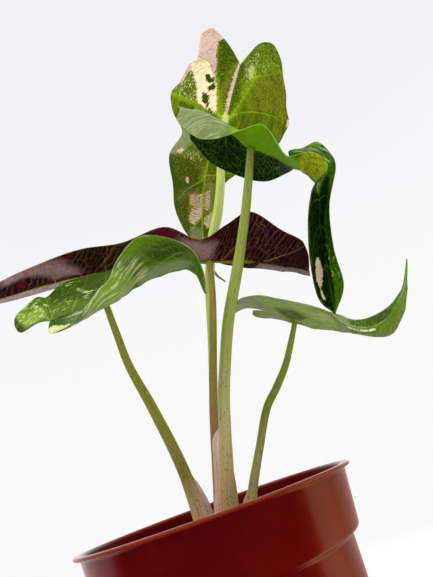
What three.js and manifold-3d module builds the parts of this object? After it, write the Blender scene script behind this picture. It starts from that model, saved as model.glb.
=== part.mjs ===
// A potted alocasia: five shield-shaped leaves on tall petioles, in a plastic nursery pot.
// Millimetres, +Z up, origin at the centre of the pot's underside.
import * as THREE from 'three';
import { mergeVertices } from 'three/addons/utils/BufferGeometryUtils.js';
import Module from 'manifold-3d';

const wasm = await Module();
wasm.setup();

// Pot
const potHeight = 104;
const rimRadius = 60;
const baseRadius = 45.8;
const collarHeight = 22;
const wallThickness = 1.2;
const floorThickness = 1.6;
const drainHoleCount = 6;
const drainHoleRadius = 4;
const drainCircleRadius = 31;
const potSides = 48;

// Potting mix
const mixBelowRim = 14;
const gap = 0.3;

// Plant: it grows out of the mix just left of the pot's middle and leans to the right and forward
const leanRight = 17.5;
const leanForward = 13.5;
const crownOffset = -2;
const bladeThickness = 0.7;
const wingThickness = 0.8;
const rowsPerStation = 2;
const bladeColumns = 4;
const stalkSides = 8;

// The tallest blade hangs upright and shows its underside.
const topBlade = {
  rib: [
    [11.5, 8, 234], [7.5, 12, 221], [4, 15, 207], [0, 17.5, 198.5], [-4, 19.5, 189.5],
    [-7, 21.5, 179], [-8.5, 22.5, 167.5], [-9, 23, 156.5], [-9, 24, 145], [-8, 24, 136],
    [-5.5, 24, 127.5], [-2, 24, 121], [3, 24, 117],
  ],
  left: {
    lobe: [
      [-3.5, 3, 252], [1.5, 4.5, 248.5], [7, 6, 241.5],
    ],
    margin: [
      [-5, 3, 252], [-9.5, 5, 249.5], [-12, 9.5, 239], [-16.5, 12.5, 237.5], [-22, 17, 229.5],
      [-27, 20, 225], [-26, 22, 214.5], [-20.5, 20, 200.5], [-27.5, 22, 188], [-25.5, 25, 172],
      [-24.5, 27, 159.5], [-19.5, 27, 147], [-11.5, 25, 135], [-6.5, 24.5, 127], [-2.5, 24, 120.5],
      [3, 24, 116.5],
    ],
    arch: [0, 0, 0, 0, 0, -1, -1.5, -2, -3, -3, -2, -1.5, -0.5, 0, 0, 0],
  },
  right: {
    lobe: [
      [24, 3, 243.5], [20.5, 4.5, 243], [16, 6, 238.5],
    ],
    margin: [
      [26, 3, 243.5], [30, 5, 243], [34, 9, 237], [35.5, 12.5, 229.5], [37.5, 16.5, 222.5],
      [38, 20, 216], [39.5, 22, 208], [37, 23, 202], [32, 24, 194], [20, 25, 186],
      [2.5, 25, 172.5], [-4, 25.5, 150.5], [-5.5, 25, 138], [-4.5, 24.5, 128], [-1.5, 24, 121.5],
      [3.5, 24, 117],
    ],
    arch: [0, 0, 0, 0, -1, -2, -2.5, -2.5, -2, -2, -1, -1, 0, 0, 0, 0],
  },
};

// The front blade folds over its own petiole, narrows to a neck and hangs down.
const frontBlade = {
  rib: [
    [1.5, -14, 181.5], [13.5, -14, 172.5], [22, -14, 169.5], [29.5, -15, 164.5], [33, -16, 162],
    [36.5, -17, 160], [39.5, -18, 157], [42.5, -18, 153.5], [43.5, -17, 149.5], [44.5, -15, 145],
    [44.5, -13, 134.5], [46, -14, 118.5], [47, -16, 104], [48, -18, 94],
  ],
  left: {
    lobe: [
      [-15, -2, 187.5], [-10.5, -7, 186], [-4.5, -11, 184.5],
    ],
    margin: [
      [-15, -2, 184], [-12, 4, 183], [-5, 6, 175.5], [3.5, 8, 171.5], [15, 9, 167.5],
      [24, 7, 165.5], [31.5, 3, 167], [36.5, -2, 169], [33.5, -4, 176], [40, -7, 176.5],
      [46.5, -9, 178.5], [52, -11, 171.5], [53.5, -13, 163], [48, -18, 143.5], [48.5, -19, 123],
      [52, -19, 106.5], [48, -18, 94],
    ],
    arch: [0, 1, 1, 1, 1, 1, 1, 0, -1, -3, -3, -2, -1.5, -1, -1, -1, 0],
  },
  right: {
    lobe: [
      [-18.5, -33, 181], [-13.5, -27, 178], [-6, -20, 179.5],
    ],
    margin: [
      [-19, -36, 173], [-16, -38, 168], [-9.5, -40, 162], [-2, -39, 162.5], [8, -37, 167.5],
      [16, -35, 171.5], [20.5, -34, 168], [24, -33, 162], [28, -32, 158.5], [36.5, -31.5, 161],
      [43.5, -31, 158], [44, -30.5, 152], [38.5, -29, 145.5], [36.5, -26, 134], [37, -23, 117],
      [40.5, -20, 100.5], [47.5, -18, 94],
    ],
    arch: [2, 7, 7.5, 5, 1.5, 0, 0, 0, 0, 0, -1, -2, -2, -1, -1, -1, 0],
  },
};

// The long narrow blade with the purple underside points level to the left.
const purpleBlade = {
  rib: [
    [32.5, 2.5, 119.5], [20, 4.5, 122.5], [8, 4, 122.5], [-5.5, 3, 122], [-19, 1, 120.5],
    [-34.5, -1, 118.5], [-51, -3, 116.5], [-68.5, -6, 112], [-81, -8, 108], [-96.5, -11, 102],
    [-107.5, -13, 99],
  ],
  left: {
    lobe: [
      [41.5, -2, 116], [39, 0, 117.5], [36, 1.5, 118.5],
    ],
    margin: [
      [41, -4, 118.5], [40.5, -6, 123], [38.5, -8.5, 127], [36, -10, 129.5], [27.5, -10, 134],
      [14, -9, 143], [2.5, -8, 137], [-9.5, -9, 129.5], [-25.5, -12, 134.5], [-44, -14, 126.5],
      [-61.5, -17, 122.5], [-77.5, -18, 116], [-94.5, -17, 108], [-107.5, -13, 99],
    ],
    arch: [0, 0, 0, -1, -1, -1, -1, 0, -1, -1, -2, -1, -1, 0],
  },
  right: {
    lobe: [
      [42.5, 1, 117], [39.5, 3, 118.5], [36.5, 4, 119.5],
    ],
    margin: [
      [43.5, 5, 115.5], [40.5, 8, 117], [36.5, 11, 119], [30.5, 14, 120.5], [19.5, 16, 123],
      [7.5, 16, 125], [-5, 14, 129], [-21, 13, 130], [-37, 12, 127.5], [-54.5, 10, 122],
      [-73.5, 9, 113.5], [-86, 5, 107.5], [-100.5, -3, 101], [-108, -12, 98],
    ],
    arch: [0, 0, 0, -1, -2, -2, -1, -1, -1, -1, -1, -1, 0, 0],
  },
};

// The lowest blade on the left is folded along its midrib.
const lowerLeftBlade = {
  rib: [
    [-65, -36, 89], [-54, -38, 93], [-42.5, -40, 95], [-37.5, -40.5, 98], [-33, -41, 101],
    [-26, -42, 104.5], [-19.5, -43, 106.5], [-14, -44, 107.5], [-9.5, -45, 105], [-6.5, -46, 97.5],
  ],
  left: {
    lobe: [
      [-79.5, -26, 85.5], [-76.5, -28, 86.5], [-72, -31, 88.5], [-68.5, -33.5, 89],
    ],
    margin: [
      [-81.5, -25, 86], [-84.5, -22, 89.5], [-85.5, -18, 94], [-79.5, -15, 101.5],
      [-75, -14.5, 102], [-69, -14, 108], [-58.5, -15, 111], [-51, -16.5, 112.5],
      [-43.5, -18, 114], [-30, -22, 117.5], [-20.5, -28, 117], [-12.5, -34, 114],
      [-8.5, -40, 108.5], [-6, -46, 97.5],
    ],
    arch: [0, 0, -1, -1, -1, -1, -1, -1, -1, -1, -1, 0, 0, 0],
  },
  right: {
    lobe: [
      [-64, -40, 84.5], [-64.5, -38, 87.5],
    ],
    margin: [
      [-61.5, -44, 83.5], [-56, -50, 84], [-50.5, -55, 86], [-45.5, -58, 91], [-41, -60, 96.5],
      [-37.5, -61, 100], [-35, -62, 106], [-28.5, -61, 114], [-18.5, -58, 114.5],
      [-10.5, -54, 111], [-7.5, -50, 104], [-6.5, -46, 97.5],
    ],
    arch: [0, -2, -3, -4, -3, -3, -2, -1, 0, 1, 1, 0],
  },
};

// The blade on the right is a shallow trough with its tip curled upright.
const lowerRightBlade = {
  rib: [
    [24.5, 6, 97], [34, 4, 93.5], [44, 3, 90.5], [55.5, 2, 89], [66, 1, 87.5], [76.5, 0, 86.5],
    [82, -2, 93], [85, -3, 102.5], [85.5, -4, 110.5], [86.5, -5, 122],
  ],
  left: {
    lobe: [
      [16.5, 16, 100.5], [19.5, 13, 100], [22.5, 9, 98.5],
    ],
    margin: [
      [16.5, 20, 99], [19, 23, 98], [24, 24, 97.5], [29.5, 25, 98], [38, 25, 99],
      [50.5, 22, 101.5], [60, 19, 99], [66.5, 17, 96], [73.5, 14, 96.5], [81, 10, 100.5],
      [85, 6, 105.5], [87, 2, 111], [86.5, -5, 122],
    ],
    arch: [0, 0, 0, -1, -2, -2, -2, -2, -1, -1, 0, 0, 0],
  },
  right: {
    lobe: [
      [6.5, -2, 96.5], [11.5, 0, 99], [18, 3, 99],
    ],
    margin: [
      [6, -5, 101.5], [10.5, -8, 103], [17, -10, 103.5], [24, -11, 102], [31, -12, 100.5],
      [39.5, -12, 98.5], [47.5, -12, 95.5], [53.5, -13, 90.5], [63, -13, 89], [71.5, -12, 92.5],
      [77.5, -10, 99.5], [83, -8, 108.5], [86.5, -5, 122],
    ],
    arch: [0, 0, 0, 0, -1, -1, -1, -2, -2, -1, -1, 0, 0],
  },
};

// The petioles: points along each axis and the radius at each point. A wing is the thin flange of the
// sheath that widens a petiole's foot: points on the axis, and the points of the wing's free edge.
const topPetiole = {
  path: [
    [0.5, 10.5, -4.5], [-1.5, 13, 17.5], [-3, 17.5, 52], [-4, 19, 86], [-5, 19, 106.5],
    [-5, 19, 123], [-3.5, 18.5, 140], [-1, 18, 152], [0.5, 17, 167], [1, 16, 182], [3.5, 14.5, 209],
  ],
  radius: [2.3, 2.2, 2.1, 2.2, 2.3, 2.5, 2.6, 2.6, 2.4, 2.1, 2],
  wings: [],
};

const frontPetiole = {
  path: [
    [2.5, -1, -2], [2.5, -2.5, 12.5], [2, -4, 22], [2, -5.5, 31.5], [1.5, -7, 44], [1, -9, 58.5],
    [1.5, -11.5, 73], [3, -14, 92], [6.5, -16, 111.5], [9, -16.5, 127], [11.5, -16.5, 145.5],
    [14, -14.5, 174],
  ],
  radius: [3.3, 3.3, 3.2, 3, 2.7, 2.6, 2.5, 2.5, 2.45, 2.2, 2.05, 1.7],
  wings: [
    {
      axis: [
        [2.5, -1, -2], [2.5, -2.5, 12.5], [2, -4, 22], [2, -5.5, 31.5], [1.5, -6.5, 39],
        [1.5, -7, 43.5], [1.5, -7.5, 47],
      ],
      edge: [
        [-2.5, 1.5, -3], [-3, 0.5, 11.5], [-3, -0.5, 21], [-3.5, -2, 31], [-4, -3.5, 39],
        [-3.5, -4.5, 43], [-1.5, -6, 46.5],
      ],
    },
    {
      axis: [[2.5, -1, -2], [2.5, -2.5, 12.5], [2, -4, 22], [2, -5.5, 31.5]],
      edge: [[7.5, 1, -3], [7.5, 0, 11.5], [6.5, -1.5, 21], [4.5, -4.5, 32.5]],
    },
  ],
};

const purplePetiole = {
  path: [
    [-1, 5, -3], [-1.5, 4.5, 20], [-3, 3.5, 44], [-3.5, 3, 62], [-3.5, 3, 94], [-4, 3, 111],
    [-5.5, 3, 125],
  ],
  radius: [2.2, 2.1, 1.95, 1.9, 1.7, 1.5, 1.4],
  wings: [],
};

const lowerLeftPetiole = {
  path: [
    [-4.5, -4, -1], [-8.5, -6, 10.5], [-11, -8, 18], [-15, -11, 29], [-20, -15, 40.5],
    [-28.5, -21, 57.5], [-36, -28, 72], [-40, -34.5, 84], [-43.5, -42, 98],
  ],
  radius: [3.3, 3.1, 2.9, 2.5, 2.3, 1.95, 1.6, 1.35, 1.15],
  wings: [
    {
      axis: [[-4.5, -4, -1], [-8.5, -6, 10.5], [-11, -8, 18], [-13.5, -10, 25], [-15, -11, 29]],
      edge: [[-2, -3.5, 1], [-3.5, -4, 12], [-5.5, -5.5, 17.5], [-9, -8, 24], [-12, -10.5, 28.5]],
    },
  ],
};

const lowerRightPetiole = {
  path: [
    [11, 2, -4], [12.5, 2.5, 10], [14, 3, 22], [17, 3, 37], [20.5, 3, 53.5], [25.5, 3, 63.5],
    [29.5, 3, 72.5], [32, 3, 81], [35.5, 4.5, 97],
  ],
  radius: [2.6, 2.4, 2.1, 1.8, 1.8, 1.75, 1.6, 1.45, 1.15],
  wings: [
    {
      axis: [[11, 2, -4], [12.5, 2.5, 10], [13.5, 3, 16.5], [14, 3, 20.5]],
      edge: [[9, 4, -4], [9, 4, 9.5], [9.5, 3.5, 15], [12, 3, 21]],
    },
  ],
};

// The crown: a stout upright stem, mostly buried, that carries the petioles and the roots.
const crownCentre = [2.5, 3];
const crownDepthScale = 0.9;
const crownProfile = [
  [0, -27], [5, -25.5], [9.5, -21], [12.5, -15], [14, -9], [13, -4.5], [10.5, -1.2], [6, 0.8], [0, 1.5],
];
const rootPaths = [
  [[2.5, 3, -16], [15, 5, -20], [24, 9, -27], [28, 11, -38]],
  [[2.5, 3, -18], [-8, 8, -22], [-17, 14, -29], [-21, 17, -40]],
  [[2.5, 3, -20], [2, -8, -25], [-1, -17, -32], [-3, -22, -44]],
  [[2.5, 3, -20], [6, 13, -27], [8, 21, -36], [9, 24, -47]],
  [[2.5, 3, -18], [-7, -4, -27], [-14, -9, -38], [-16, -12, -50]],
];
const rootRadii = [2.2, 1.9, 1.5, 0.9];

// Reads a smooth curve through chosen points, at an index that may lie between two of them.
function readCurve(points, index) {
  const vectors = points.map((point) => new THREE.Vector3(...point));
  const curve = new THREE.CatmullRomCurve3(vectors, false, 'catmullrom', 0.5);
  return curve.getPoint(index / (points.length - 1));
}

function readNumber(values, index) {
  const low = Math.min(Math.floor(index), values.length - 2);
  return THREE.MathUtils.lerp(values[low], values[low + 1], index - low);
}

// Rows of points across a flap. Each row runs from the inner line to the outer line and bows by the
// arch height in its middle, towards the side that sign picks.
function flapRows(innerAt, outerAt, archAt, stationCount, columns, sign) {
  const ends = [];
  for (let row = 0; row <= (stationCount - 1) * rowsPerStation; row += 1) {
    const index = row / rowsPerStation;
    ends.push({ inner: innerAt(index), outer: outerAt(index), arch: archAt(index) });
  }
  const middles = ends.map(({ inner, outer }) => inner.clone().add(outer).multiplyScalar(0.5));
  return ends.map(({ inner, outer, arch }, row) => {
    const before = middles[Math.max(row - 1, 0)];
    const after = middles[Math.min(row + 1, middles.length - 1)];
    const chord = outer.clone().sub(inner);
    const bow = after.clone().sub(before).cross(chord).multiplyScalar(sign).normalize();
    const points = [];
    for (let column = 0; column <= columns; column += 1) {
      const across = column / columns;
      const height = arch * 4 * across * (1 - across);
      points.push(inner.clone().addScaledVector(chord, across).addScaledVector(bow, height));
    }
    return points;
  });
}

// Two triangles for each cell of a grid of point numbers; cells that have closed to a line are left out.
function addCells(faces, grid, sign) {
  for (let row = 0; row + 1 < grid.length; row += 1) {
    for (let column = 0; column + 1 < grid[row].length; column += 1) {
      const near = grid[row][column];
      const far = grid[row][column + 1];
      const nextNear = grid[row + 1][column];
      const nextFar = grid[row + 1][column + 1];
      const pair = [[near, nextNear, nextFar], [near, nextFar, far]];
      for (const [a, b, c] of pair) {
        if (a !== b && b !== c && c !== a) {
          faces.push(sign > 0 ? [a, b, c] : [a, c, b]);
        }
      }
    }
  }
}

// A blade's middle surface. Its two halves share the midrib's points and meet in one point at the tip.
function bladeSheet(blade) {
  const points = [];
  const faces = [];
  const ribPoints = [];
  const place = (point) => points.push(point) - 1;
  for (const [side, sign] of [[blade.left, 1], [blade.right, -1]]) {
    const lobeLine = [...side.lobe, blade.rib[0]];
    const lobeCount = side.lobe.length;
    const innerAt = (index) => (
      index < lobeCount ? readCurve(lobeLine, index) : readCurve(blade.rib, index - lobeCount)
    );
    const outerAt = (index) => readCurve(side.margin, index);
    const archAt = (index) => readNumber(side.arch, index);
    const rows = flapRows(innerAt, outerAt, archAt, side.margin.length, bladeColumns, sign);
    const lobeRows = lobeCount * rowsPerStation;
    const grid = rows.map((row, rowNumber) => row.map((point, column) => {
      const ribNumber = rowNumber - lobeRows;
      const onRib = ribNumber >= 0 && (column === 0 || rowNumber === rows.length - 1);
      if (!onRib) {
        return place(point);
      }
      ribPoints[ribNumber] ??= place(row[0]);
      return ribPoints[ribNumber];
    }));
    addCells(faces, grid, sign);
  }
  return { points, faces };
}

// A flap of a petiole's sheath, from the petiole's axis out to the flap's free edge.
function wingSheet(wing) {
  const points = [];
  const faces = [];
  const innerAt = (index) => readCurve(wing.axis, index);
  const outerAt = (index) => readCurve(wing.edge, index);
  const rows = flapRows(innerAt, outerAt, () => 0, wing.axis.length, 2, 1);
  const grid = rows.map((row) => row.map((point) => points.push(point) - 1));
  addCells(faces, grid, 1);
  return { points, faces };
}

// Gives a sheet its thickness: both faces are the same triangles moved out along the points' normals,
// and walls close the open edges.
function thicken({ points, faces }, thickness) {
  const normals = points.map(() => new THREE.Vector3());
  const openEdges = new Map();
  for (const face of faces) {
    const [a, b, c] = face.map((number) => points[number]);
    const area = b.clone().sub(a).cross(c.clone().sub(a));
    face.forEach((number, corner) => {
      normals[number].add(area);
      const next = face[(corner + 1) % 3];
      if (!openEdges.delete(`${next} ${number}`)) {
        openEdges.set(`${number} ${next}`, [number, next]);
      }
    });
  }
  const count = points.length;
  const half = thickness / 2;
  normals.forEach((normal) => normal.normalize());
  const moved = (distance) => points.map((point, number) => (
    point.clone().addScaledVector(normals[number], distance)
  ));
  const closed = [...faces, ...faces.map(([a, b, c]) => [a + count, c + count, b + count])];
  for (const [start, end] of openEdges.values()) {
    closed.push([end, start, start + count], [end, start + count, end + count]);
  }
  return { points: [...moved(half), ...moved(-half)], faces: closed };
}

// A tapered stalk: rings of points around a smooth path, with both ends closed.
function stalk(path, radii, sides) {
  const points = [];
  const faces = [];
  const ringCount = (path.length - 1) * rowsPerStation + 1;
  const centres = [];
  for (let ring = 0; ring < ringCount; ring += 1) {
    centres.push(readCurve(path, ring / rowsPerStation));
  }
  let across = new THREE.Vector3(0, 1, 0);
  centres.forEach((centre, ring) => {
    const before = centres[Math.max(ring - 1, 0)];
    const after = centres[Math.min(ring + 1, ringCount - 1)];
    const along = after.clone().sub(before).normalize();
    across = across.addScaledVector(along, -across.dot(along)).normalize();
    const sideways = along.clone().cross(across);
    const radius = readNumber(radii, ring / rowsPerStation);
    for (let corner = 0; corner < sides; corner += 1) {
      const angle = (corner / sides) * 2 * Math.PI;
      const offset = across.clone().multiplyScalar(Math.cos(angle) * radius);
      points.push(centre.clone().add(offset).addScaledVector(sideways, Math.sin(angle) * radius));
    }
  });
  for (let ring = 0; ring + 1 < ringCount; ring += 1) {
    for (let corner = 0; corner < sides; corner += 1) {
      const next = (corner + 1) % sides;
      const [a, b] = [ring * sides + corner, ring * sides + next];
      faces.push([a, b, b + sides], [a, b + sides, a + sides]);
    }
  }
  const foot = points.push(centres[0].clone()) - 1;
  const head = points.push(centres[ringCount - 1].clone()) - 1;
  const lastRing = (ringCount - 1) * sides;
  for (let corner = 0; corner < sides; corner += 1) {
    const next = (corner + 1) % sides;
    faces.push([foot, next, corner], [head, lastRing + corner, lastRing + next]);
  }
  return { points, faces };
}

function solidOf({ points, faces }) {
  const vertProperties = new Float32Array(points.flatMap((point) => [point.x, point.y, point.z]));
  const triVerts = new Uint32Array(faces.flat());
  return new wasm.Manifold(new wasm.Mesh({ numProp: 3, vertProperties, triVerts }));
}

function solidFromGeometry(source) {
  const bare = source.clone();
  bare.deleteAttribute('normal');
  bare.deleteAttribute('uv');
  const merged = mergeVertices(bare, 1e-4);
  const { array } = merged.attributes.position;
  const points = [];
  for (let start = 0; start < array.length; start += 3) {
    points.push(new THREE.Vector3(array[start], array[start + 1], array[start + 2]));
  }
  const faces = [];
  const index = merged.index.array;
  for (let start = 0; start < index.length; start += 3) {
    const [a, b, c] = [index[start], index[start + 1], index[start + 2]];
    if (a !== b && b !== c && c !== a) {
      faces.push([a, b, c]);
    }
  }
  return solidOf({ points, faces });
}

// Turns a profile of [radius, height] pairs about the vertical axis.
function turned(profile, sides) {
  const outline = profile.map(([radius, height]) => new THREE.Vector2(radius, height));
  return new THREE.LatheGeometry(outline, sides).rotateX(Math.PI / 2);
}

function largestPiece(solid) {
  return solid.decompose().sort((a, b) => b.volume() - a.volume())[0];
}

function geometryOf(solid) {
  const { vertProperties, triVerts, numProp } = solid.getMesh();
  const positions = new Float32Array((vertProperties.length / numProp) * 3);
  for (let number = 0; number * numProp < vertProperties.length; number += 1) {
    positions.set(vertProperties.slice(number * numProp, number * numProp + 3), number * 3);
  }
  const geometry = new THREE.BufferGeometry();
  geometry.setAttribute('position', new THREE.BufferAttribute(positions, 3));
  geometry.setIndex(new THREE.BufferAttribute(new Uint32Array(triVerts), 1));
  geometry.computeVertexNormals();
  return geometry;
}

function material(color, roughness) {
  return new THREE.MeshStandardMaterial({ color, roughness, metalness: 0 });
}

function addMesh(parent, name, solid, look) {
  const mesh = new THREE.Mesh(geometryOf(solid), look);
  mesh.name = name;
  parent.add(mesh);
}

const group = new THREE.Group();
const plant = new THREE.Group();
plant.position.set(crownOffset, 0, potHeight - mixBelowRim);
plant.rotation.set(
  THREE.MathUtils.degToRad(leanForward), THREE.MathUtils.degToRad(leanRight), 0, 'YXZ',
);
plant.updateMatrix();
group.add(plant);

// Pot: a straight tapered wall, a step out to the collar, and a thin rolled lip
const collarFoot = potHeight - collarHeight;
const potProfile = [
  [0, 0],
  [baseRadius - 1.5, 0],
  [baseRadius, 1.2],
  [50.9, collarFoot - 2],
  [53.6, collarFoot - 1],
  [54.4, collarFoot],
  [57.5, potHeight - 1.6],
  [rimRadius - 0.6, potHeight - 1.5],
  [rimRadius, potHeight - 0.9],
  [rimRadius, potHeight - 0.4],
  [rimRadius - 0.5, potHeight],
  [rimRadius - 3, potHeight],
  [rimRadius - 3.6, potHeight - 0.7],
  [54.4 - wallThickness, collarFoot + 0.5],
  [50.9 - wallThickness, collarFoot - 0.7],
  [baseRadius - wallThickness + 0.1, floorThickness],
  [0, floorThickness],
];
let potSolid = solidFromGeometry(turned(potProfile, potSides));
for (let number = 0; number < drainHoleCount; number += 1) {
  const angle = ((number + 0.5) / drainHoleCount) * 2 * Math.PI;
  const hole = new THREE.CylinderGeometry(drainHoleRadius, drainHoleRadius, 12, 12).rotateX(Math.PI / 2);
  hole.translate(Math.cos(angle) * drainCircleRadius, Math.sin(angle) * drainCircleRadius, 0);
  potSolid = potSolid.subtract(solidFromGeometry(hole));
}
addMesh(group, 'pot', potSolid, material(0x5a1210, 0.3));

// Crown with its roots; grow makes the same shape larger all round, for the clearance about it
function crownSolid(grow) {
  const profile = crownProfile.map(([radius, height], number) => {
    const last = number === crownProfile.length - 1;
    return [radius === 0 ? 0 : radius + grow, height + (last ? grow : number === 0 ? -grow : 0)];
  });
  const body = turned(profile, 20);
  body.scale(1, crownDepthScale, 1);
  body.translate(crownCentre[0], crownCentre[1], 0);
  let solid = solidFromGeometry(body);
  for (const path of rootPaths) {
    const radii = rootRadii.map((radius) => radius + grow);
    solid = solid.add(solidOf(stalk(path, radii, 6)));
  }
  return solid;
}
const crown = crownSolid(0);
const crownWithGap = crownSolid(gap + 0.1);
addMesh(plant, 'crown', crown, material(0x8a6a4a, 0.8));

// Potting mix: fills the pot up to the middle of its collar, with a lumpy top and a hole for the crown
const mixTop = potHeight - mixBelowRim;
const mixProfile = [
  [0, floorThickness + gap],
  [baseRadius - wallThickness - 0.3, floorThickness + gap],
  [49.3, collarFoot - 0.45],
  [52.8, collarFoot + 0.75],
  [54, mixTop],
  [47, mixTop],
  [40, mixTop],
  [33, mixTop],
  [26, mixTop],
  [19, mixTop],
  [11, mixTop],
  [0, mixTop],
];
const mixShape = turned(mixProfile, potSides);
const mixPoints = mixShape.attributes.position;
for (let number = 0; number < mixPoints.count; number += 1) {
  const [x, y, z] = [mixPoints.getX(number), mixPoints.getY(number), mixPoints.getZ(number)];
  if (z > mixTop - 0.01 && Math.hypot(x, y) < 53) {
    const wide = 0.9 * Math.sin(x * 0.19 + 1) * Math.cos(y * 0.23);
    const narrow = 0.5 * Math.sin(x * 0.53 + y * 0.31) * Math.cos(y * 0.47 - x * 0.2);
    mixPoints.setZ(number, z + wide + narrow);
  }
}
const shaft = new THREE.CylinderGeometry(14.4, 14.4, 29, 20).rotateX(Math.PI / 2);
shaft.scale(1, crownDepthScale, 1);
shaft.translate(crownCentre[0], crownCentre[1], 5.5);
const crownHole = crownWithGap.add(solidFromGeometry(shaft)).transform(plant.matrix.elements);
addMesh(group, 'potting_mix', solidFromGeometry(mixShape).subtract(crownHole), material(0x2e2018, 1));

// Leaves: each petiole stands on the crown and ends just under its blade
const leafGreen = material(0x4a7a30, 0.35);
const darkGreen = material(0x23431f, 0.3);
const purple = material(0x3c1824, 0.4);
const stemGreen = material(0x8a9440, 0.5);
const stemBrown = material(0x7a6238, 0.55);
const leaves = [
  ['top', topPetiole, topBlade, stemGreen, leafGreen],
  ['front', frontPetiole, frontBlade, stemGreen, darkGreen],
  ['purple', purplePetiole, purpleBlade, stemBrown, purple],
  ['lower_left', lowerLeftPetiole, lowerLeftBlade, stemGreen, leafGreen],
  ['lower_right', lowerRightPetiole, lowerRightBlade, stemGreen, leafGreen],
];
for (const [name, petiole, blade, petioleLook, bladeLook] of leaves) {
  const sheet = bladeSheet(blade);
  addMesh(plant, `leaf_${name}`, solidOf(thicken(sheet, bladeThickness)), bladeLook);
  let stem = solidOf(stalk(petiole.path, petiole.radius, stalkSides));
  for (const wing of petiole.wings) {
    stem = stem.add(solidOf(thicken(wingSheet(wing), wingThickness)));
  }
  stem = stem.subtract(crownWithGap).subtract(solidOf(thicken(sheet, bladeThickness + 2 * gap)));
  addMesh(plant, `petiole_${name}`, largestPiece(stem), petioleLook);
}

export default group;
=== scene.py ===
import math

import bpy
import numpy as np
from mathutils import Matrix, Vector


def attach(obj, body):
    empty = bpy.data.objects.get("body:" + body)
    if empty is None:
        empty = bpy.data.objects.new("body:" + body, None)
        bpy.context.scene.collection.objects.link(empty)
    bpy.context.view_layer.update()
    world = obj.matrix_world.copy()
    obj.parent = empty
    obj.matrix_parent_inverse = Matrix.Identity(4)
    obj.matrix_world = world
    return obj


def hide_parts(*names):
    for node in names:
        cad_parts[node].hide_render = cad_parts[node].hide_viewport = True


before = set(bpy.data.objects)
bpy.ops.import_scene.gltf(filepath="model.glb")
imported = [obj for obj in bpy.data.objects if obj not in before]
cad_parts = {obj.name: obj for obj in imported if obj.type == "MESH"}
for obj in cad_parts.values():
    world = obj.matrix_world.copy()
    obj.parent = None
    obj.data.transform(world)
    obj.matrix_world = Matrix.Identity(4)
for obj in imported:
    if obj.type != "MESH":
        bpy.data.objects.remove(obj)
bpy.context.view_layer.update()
metresPerMillimetre = 0.001

cameraView = {
    "place": (0.0, -0.2093687, 0.1115196),  # metres
    "right": (0.95182715, -0.01158597, -0.30641611),
    "up": (0.27395388, -0.41677069, 0.86674763),
    "forward": (0.13774737, 0.90893782, 0.39351964),
    "lens": 27.016,
}


def makeCamera(view):
    data = bpy.data.cameras.new("camera")
    data.lens = view["lens"]
    data.clip_start = 0.01
    camera = bpy.data.objects.new("camera", data)
    bpy.context.scene.collection.objects.link(camera)
    axes = [view["right"], view["up"], [-value for value in view["forward"]]]
    rows = [[axes[0][k], axes[1][k], axes[2][k], view["place"][k]] for k in range(3)]
    camera.matrix_world = Matrix(rows + [[0, 0, 0, 1]])
    bpy.context.scene.camera = camera


makeCamera(cameraView)
print("camera set")


# Colours are given as a screen shows them, 0 to 255, and turned to the linear values that shaders use.
def tint(red, green, blue):
    shown = np.array([red, green, blue]) / 255
    linear = np.where(shown <= 0.04045, shown / 12.92, ((shown + 0.055) / 1.055) ** 2.4)
    return (*linear.tolist(), 1.0)


# Sets the inputs of a node, and links those whose value is another node's output.
def fill(tree, node, inputs):
    for name, value in inputs.items():
        socket = node.inputs[name]
        if isinstance(value, bpy.types.NodeSocket):
            tree.links.new(value, socket)
        else:
            socket.default_value = value


def addNode(tree, kind, inputs=None, **settings):
    node = tree.nodes.new(kind)
    for name, value in settings.items():
        setattr(node, name, value)
    fill(tree, node, inputs or {})
    return node


def calc(tree, operation, *values):
    return addNode(tree, "ShaderNodeMath", dict(enumerate(values)), operation=operation).outputs[0]


def product(tree, one, other):
    return calc(tree, "MULTIPLY", one, other)


def splitVector(tree, vector):
    return addNode(tree, "ShaderNodeSeparateXYZ", {0: vector}).outputs


# Where a point of the piece lies, in metres.
def objectPlace(tree):
    return addNode(tree, "ShaderNodeTexCoord").outputs["Object"]


def mixShader(tree, amount, under, over):
    return addNode(tree, "ShaderNodeMixShader", {0: amount, 1: under, 2: over}).outputs[0]


def mixColour(tree, amount, under, over, mode="MIX"):
    inputs = {0: amount, 6: under, 7: over}
    return addNode(tree, "ShaderNodeMix", inputs, data_type="RGBA", blend_type=mode).outputs[2]


# Makes a colour darker or lighter by a grey value.
def shaded(tree, colour, value):
    grey = addNode(tree, "ShaderNodeCombineColor", dict.fromkeys(range(3), value)).outputs[0]
    return mixColour(tree, 1.0, colour, grey, "MULTIPLY")


# Runs smoothly from 0 to 1, or between other end values, as the value goes from low to high.
def fade(tree, value, low, high, start=0.0, end=1.0):
    inputs = {"Value": value, "From Min": low, "From Max": high, "To Min": start, "To Max": end}
    return addNode(
        tree, "ShaderNodeMapRange", inputs, interpolation_type="SMOOTHSTEP"
    ).outputs["Result"]


# A row of colours along a value, each at its own place from 0 to 1 and evenly mixed between them.
def colourRamp(tree, value, stops):
    node = addNode(tree, "ShaderNodeValToRGB", {0: value})
    node.color_ramp.interpolation = "LINEAR"
    elements = node.color_ramp.elements
    for number, (place, colour) in enumerate(stops):
        element = elements[number] if number < 2 else elements.new(place)
        element.position = place
        element.color = colour
    return node.outputs[0]


def grainNoise(tree, vector, scale, detail=2.0, roughness=0.5, distortion=0.0):
    inputs = {
        "Vector": vector, "Scale": scale, "Detail": detail,
        "Roughness": roughness, "Distortion": distortion,
    }
    return addNode(tree, "ShaderNodeTexNoise", inputs).outputs[0]


def scaled(tree, vector, scale, shift=(0, 0, 0)):
    inputs = {"Vector": vector, "Location": shift, "Scale": scale}
    return addNode(tree, "ShaderNodeMapping", inputs).outputs[0]


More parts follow.
